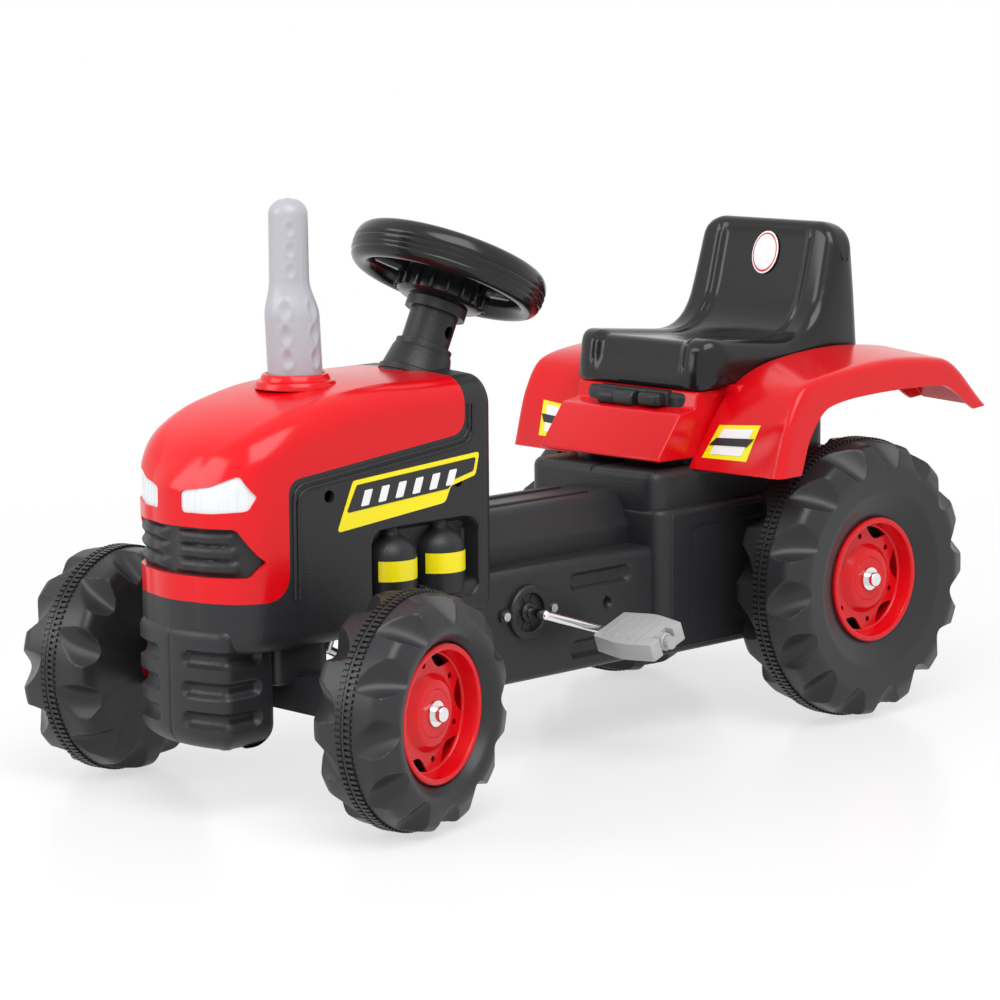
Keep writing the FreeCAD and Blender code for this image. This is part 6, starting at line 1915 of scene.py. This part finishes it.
@dataclass
class Stack:
    """Exhaust stack with a narrower bent top and ringed dimples. Sizes in millimetres."""

    x: float = STACK_X
    low: float = 363.0
    waist: float = 428.0
    neck: float = 448.0
    top: float = 523.0
    radius: float = 24.0
    neck_r: float = 17.5
    sway: tuple[Point, ...] = ((0.0, 0.0), (60.0, 3.0), (92.0, 5.5), (160.0, 5.5))
    low_dimples: Corner = (22.0, 43.0, 64.0)
    high_dimples: Corner = (98.0, 116.0, 134.0)

    def build(self) -> None:
        """Draw the stack up along its bent middle line."""
        wide = Curve([(0.0, self.radius), (self.waist - self.low - 8.0, self.radius),
                      (self.neck - self.low + 4.0, self.neck_r), (self.top - self.low, self.neck_r - 0.5)])
        sway = Curve(self.sway)
        length = self.top - self.low
        heights = [length * k / 96 for k in range(97)]
        cols = 97

        def place(i: int, j: int) -> Vector:
            """Place of a point of the stack.

            Args:
                i: Its row.
                j: Its column.

            Returns:
                The place in metres.
            """
            z = heights[i]
            r = wide(z)
            dome = max(0.0, z - (length - r * 0.8)) / (r * 0.8)
            r *= math.sqrt(max(0.0, 1 - dome ** 2)) if dome < 1 else 0.0
            turn = math.tau * j / (cols - 1)
            for centre in self.low_dimples:
                for face in (0.62, 1.72):
                    round_off = (turn - face + math.pi) % math.tau - math.pi
                    off = math.hypot((z - centre) / 8.5, round_off * r / 5.5)
                    r -= 1.9 * (1 - ease(off)) - 0.8 * math.exp(-((off - 1.1) / 0.22) ** 2)
            for centre in self.high_dimples:
                off = math.hypot((z - centre) / 6.5, ((turn - 0.95 + math.pi) % math.tau - math.pi) * r / 4.5)
                r -= 1.2 * (1 - ease(off)) - 0.5 * math.exp(-((off - 1.1) / 0.25) ** 2)
            seam = min(abs(turn - math.pi / 2), abs(turn - 3 * math.pi / 2)) * r
            r += 0.45 * math.exp(-(seam / 0.9) ** 2)
            return spot(self.x + sway(z) + r * math.cos(turn), r * math.sin(turn), self.low + z)

        shape = Mould()
        shape.sheet(len(heights), cols, place)
        shape.face_out(spot(self.x, 0, 430))
        shape.merge(1e-5).piece("exhaust_stack_dimpled", STACK, "chassis", Slot.STACK_GREY,
                                ["exhaust_stack"], 60.0)


@dataclass
class Patches:
    """Plain films on the tower's sides and round the flasks. Sizes in millimetres."""

    film: float = 0.35
    label_r: float = 24.9
    label_y: float = 66.0
    label_heights: Point = (191.5, 209.5)
    label_turns: tuple[Point, ...] = ((-52.0, 64.0), (-48.0, 68.0))
    bars: int = 6
    bar_front: float = 566.0
    bar_pitch: float = 20.0
    bar_slope: float = 0.0664

    def sheet(self, name: str, corners: Sequence[Corner], finish: Finish, level: float) -> None:
        """Lay a film on both sides of the tower.

        Args:
            name: Name of the piece.
            corners: Outline as x, z and radius.
            finish: Its finish.
            level: Height above the tower's side.
        """
        shape = Mould()
        line = rounded(corners, 5)
        shape.plate([spot(p.x, TOWER_HALF + level, p.y) for p in line], Vector((0.0, self.film * MM, 0.0)))
        shape.both().close().piece(name, finish, "chassis", Slot.BODY_BLACK)

    def label(self, shape: Mould, x: float, turns: Point) -> None:
        """Wrap a plain label round a flask.

        Args:
            shape: The labels' shape.
            x: Middle of the flask ahead of the rear axle.
            turns: Where the label starts and ends round the flask, in degrees.
        """
        def place(i: int, j: int) -> Vector:
            """Place of a point of the label.

            Args:
                i: Its row.
                j: Its column.

            Returns:
                The place in metres.
            """
            turn = math.radians(between(*turns, i / 18))
            return spot(x + self.label_r * math.sin(turn), self.label_y + self.label_r * math.cos(turn),
                        between(*self.label_heights, j))

        shape.sheet(19, 2, place)

    def flask_labels(self) -> None:
        """Put a yellow label on each flask."""
        shape = Mould()
        for x, turns in zip(FLASKS_X, self.label_turns):
            self.label(shape, x, turns)
        labels = shape.face_out(spot(495, 40, 200)).both()
        labels.piece("flask_labels", YELLOW, "chassis", Slot.BODY_BLACK)

    def build(self) -> None:
        """Lay all the films."""
        self.flask_labels()
        self.sheet("side_film_yellow", [(579, 284.5, 4), (429, 294.5, 3), (434, 274, 5), (464, 267.5, 6),
                                        (471, 253.5, 8), (598, 241.5, 3)], YELLOW, 0.1)
        self.sheet("side_film_black", [(575, 280.5, 3), (433.5, 290, 2), (437, 278, 3), (462, 272.5, 5),
                                       (467, 265.5, 4), (587, 257.5, 2)], INK, 0.5)
        for k in range(self.bars):
            x = self.bar_front - self.bar_pitch * k
            rise = (self.bar_front - x) * self.bar_slope
            self.sheet(f"side_bar_{k}", [(x, 275 + rise, 1), (x - 9, 275.6 + rise, 1), (x - 4, 262 + rise, 1),
                                         (x + 5, 261.4 + rise, 1)], WHITE, 0.9)


# Studio


@dataclass
class Studio:
    """Camera, soft light and the pale floor."""

    camera_at: tuple[float, float, float] = (2.4949, 2.2392, 0.7184)
    azimuth: float = 45.889
    elevation: float = 8.901
    roll: float = -0.464
    focal_px: float = 3404.0
    frame_px: float = 1000.0
    sensor: float = 36.0

    def camera(self) -> None:
        """Stand the camera where the photograph was taken."""
        lens = bpy.data.cameras.new("studio_camera")
        lens.sensor_width = self.sensor
        lens.lens = self.focal_px / self.frame_px * self.sensor
        lens.clip_end = 2000.0
        eye = bpy.data.objects.new("studio_camera", lens)
        bpy.context.scene.collection.objects.link(eye)
        turn, rise = math.radians(self.azimuth), math.radians(self.elevation)
        back = Vector((math.cos(rise) * math.cos(turn), math.cos(rise) * math.sin(turn), math.sin(rise)))
        right = (-back).cross(Vector((0, 0, 1))).normalized()
        up = right.cross(-back)
        tip = math.radians(self.roll)
        across = right * math.cos(tip) + up * math.sin(tip)
        above = up * math.cos(tip) - right * math.sin(tip)
        axes = Matrix((across, above, back)).transposed().to_4x4()
        eye.matrix_world = Matrix.Translation(Vector(self.camera_at) + Vector((REAR_AXLE_X, 0, 0))) @ axes
        bpy.context.scene.camera = eye

    def softbox(self, name: str, place: Vector, aim: Vector, size: float, power: float) -> None:
        """Hang a square soft lamp.

        Args:
            name: Name of the lamp.
            place: Where it hangs.
            aim: What it points at.
            size: Width in metres.
            power: Watts.
        """
        lamp = bpy.data.lights.new(name, "AREA")
        lamp.size = size
        lamp.energy = power
        made = bpy.data.objects.new(name, lamp)
        bpy.context.scene.collection.objects.link(made)
        turn = (aim - place).to_track_quat("-Z", "Y").to_matrix().to_4x4()
        made.matrix_world = Matrix.Translation(place) @ turn

    @staticmethod
    def looked_at(nodes: Nodes) -> bpy.types.Node:
        """One for rays that look at a thing or see it in a reflection or through a clear piece.

        Args:
            nodes: The tree that it is added to.

        Returns:
            The node that gives it.
        """
        ray = nodes.add("ShaderNodeLightPath")
        either = nodes.add("ShaderNodeMath", operation="MAXIMUM")
        nodes.join(ray, "Is Camera Ray", either, 0)
        nodes.join(ray, "Is Glossy Ray", either, 1)
        whole = nodes.add("ShaderNodeMath", operation="MAXIMUM")
        nodes.join(either, 0, whole, 0)
        nodes.join(ray, "Is Transmission Ray", whole, 1)
        return whole

    def surroundings(self) -> None:
        """White surroundings for the camera, a softer level for the light on the tractor."""
        world = bpy.data.worlds.new("white_studio")
        world.use_nodes = True
        nodes = Nodes(world.node_tree)
        out = nodes.add("ShaderNodeOutputWorld")
        soft = nodes.add("ShaderNodeBackground", Color=(0.96, 0.98, 1.0, 1.0), Strength=0.62)
        seen = nodes.add("ShaderNodeBackground", Color=(1.0, 1.0, 1.0, 1.0), Strength=1.0)
        pick = nodes.add("ShaderNodeMixShader")
        nodes.join(self.looked_at(nodes), 0, pick, 0)
        nodes.join(soft, 0, pick, 1)
        nodes.join(seen, 0, pick, 2)
        nodes.join(pick, 0, out, "Surface")
        bpy.context.scene.world = world

    def floor(self) -> None:
        """Lay the pale floor, which keeps the tractor's shadow and a faint reflection."""
        shape = Mould()
        bmesh.ops.create_grid(shape.bm, x_segments=2, y_segments=2, size=700.0)
        mesh = bpy.data.meshes.new("studio_floor")
        shape.bm.to_mesh(mesh)
        shape.bm.free()
        made = bpy.data.objects.new("studio_floor", mesh)
        bpy.context.scene.collection.objects.link(made)
        made.location.z = -0.0005
        pale = bpy.data.materials.new("pale_floor")
        pale.use_nodes = True
        nodes = Nodes(pale.node_tree)
        out = nodes.add("ShaderNodeOutputMaterial")
        shader = nodes.add("ShaderNodeBsdfPrincipled", Base_Color=(0.90, 0.90, 0.90, 1.0), Roughness=0.22,
                           Specular_IOR_Level=0.25)
        white = nodes.add("ShaderNodeEmission", Color=(1.0, 1.0, 1.0, 1.0), Strength=1.0)
        place = nodes.add("ShaderNodeTexCoord")
        away = nodes.add("ShaderNodeVectorMath", operation="LENGTH")
        fade = nodes.add("ShaderNodeMapRange", interpolation_type="SMOOTHSTEP", From_Min=0.45, From_Max=1.7,
                         To_Min=0.62, To_Max=1.0)
        nodes.join(place, "Object", away, 0)
        nodes.join(away, "Value", fade, "Value")
        share = nodes.add("ShaderNodeMath", operation="MULTIPLY")
        nodes.join(fade, "Result", share, 1)
        pick = nodes.add("ShaderNodeMixShader")
        nodes.join(self.looked_at(nodes), 0, share, 0)
        nodes.join(share, 0, pick, 0)
        nodes.join(shader, 0, pick, 1)
        nodes.join(white, 0, pick, 2)
        nodes.join(pick, 0, out, "Surface")
        mesh.materials.append(pale)
        made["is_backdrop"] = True

    def set_up(self) -> None:
        """Set the camera, the light and the floor."""
        bpy.context.scene.view_settings.view_transform = "Standard"
        self.camera()
        self.surroundings()
        self.floor()
        aim = spot(300, 0, 180)
        self.softbox("key_softbox", aim + Vector((0.9, 1.6, 2.4)), aim, 2.2, 70.0)
        self.softbox("nose_softbox", aim + Vector((2.8, -1.2, 1.4)), aim, 1.8, 38.0)


def dress_nodes() -> None:
    """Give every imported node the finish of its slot."""
    for part in frame["record"]["subparts"]:
        node = frame["nodes"][part["node"]]
        finish = SLOT_FINISH[Slot(part["material_slot"])]
        node.data.materials.clear()
        node.data.materials.append(finish.material())


def corners(box: tuple[Vector, Vector]) -> list[list[float]]:
    """Box as plain lists."""
    return [list(box[0]), list(box[1])]


def main() -> None:
    """Dress the tractor piece by piece."""
    logging.basicConfig(level=logging.INFO, format="%(name)s %(message)s")
    packed = corners(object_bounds())
    Studio().set_up()
    dress_nodes()
    Wheels(Tyre(102.5, 12, 118), Tyre(135.0, 15, 154, scoop_depth=28.0), Rim()).dress()
    Drive().build()
    column = Column()
    Body(column).build(Front().build())
    column.build()
    Fender().build()
    Seat().build()
    Stack().build()
    Patches().build()
    {"cad": packed, "visual": corners(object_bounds())}


if __name__ == "__main__":
    main()
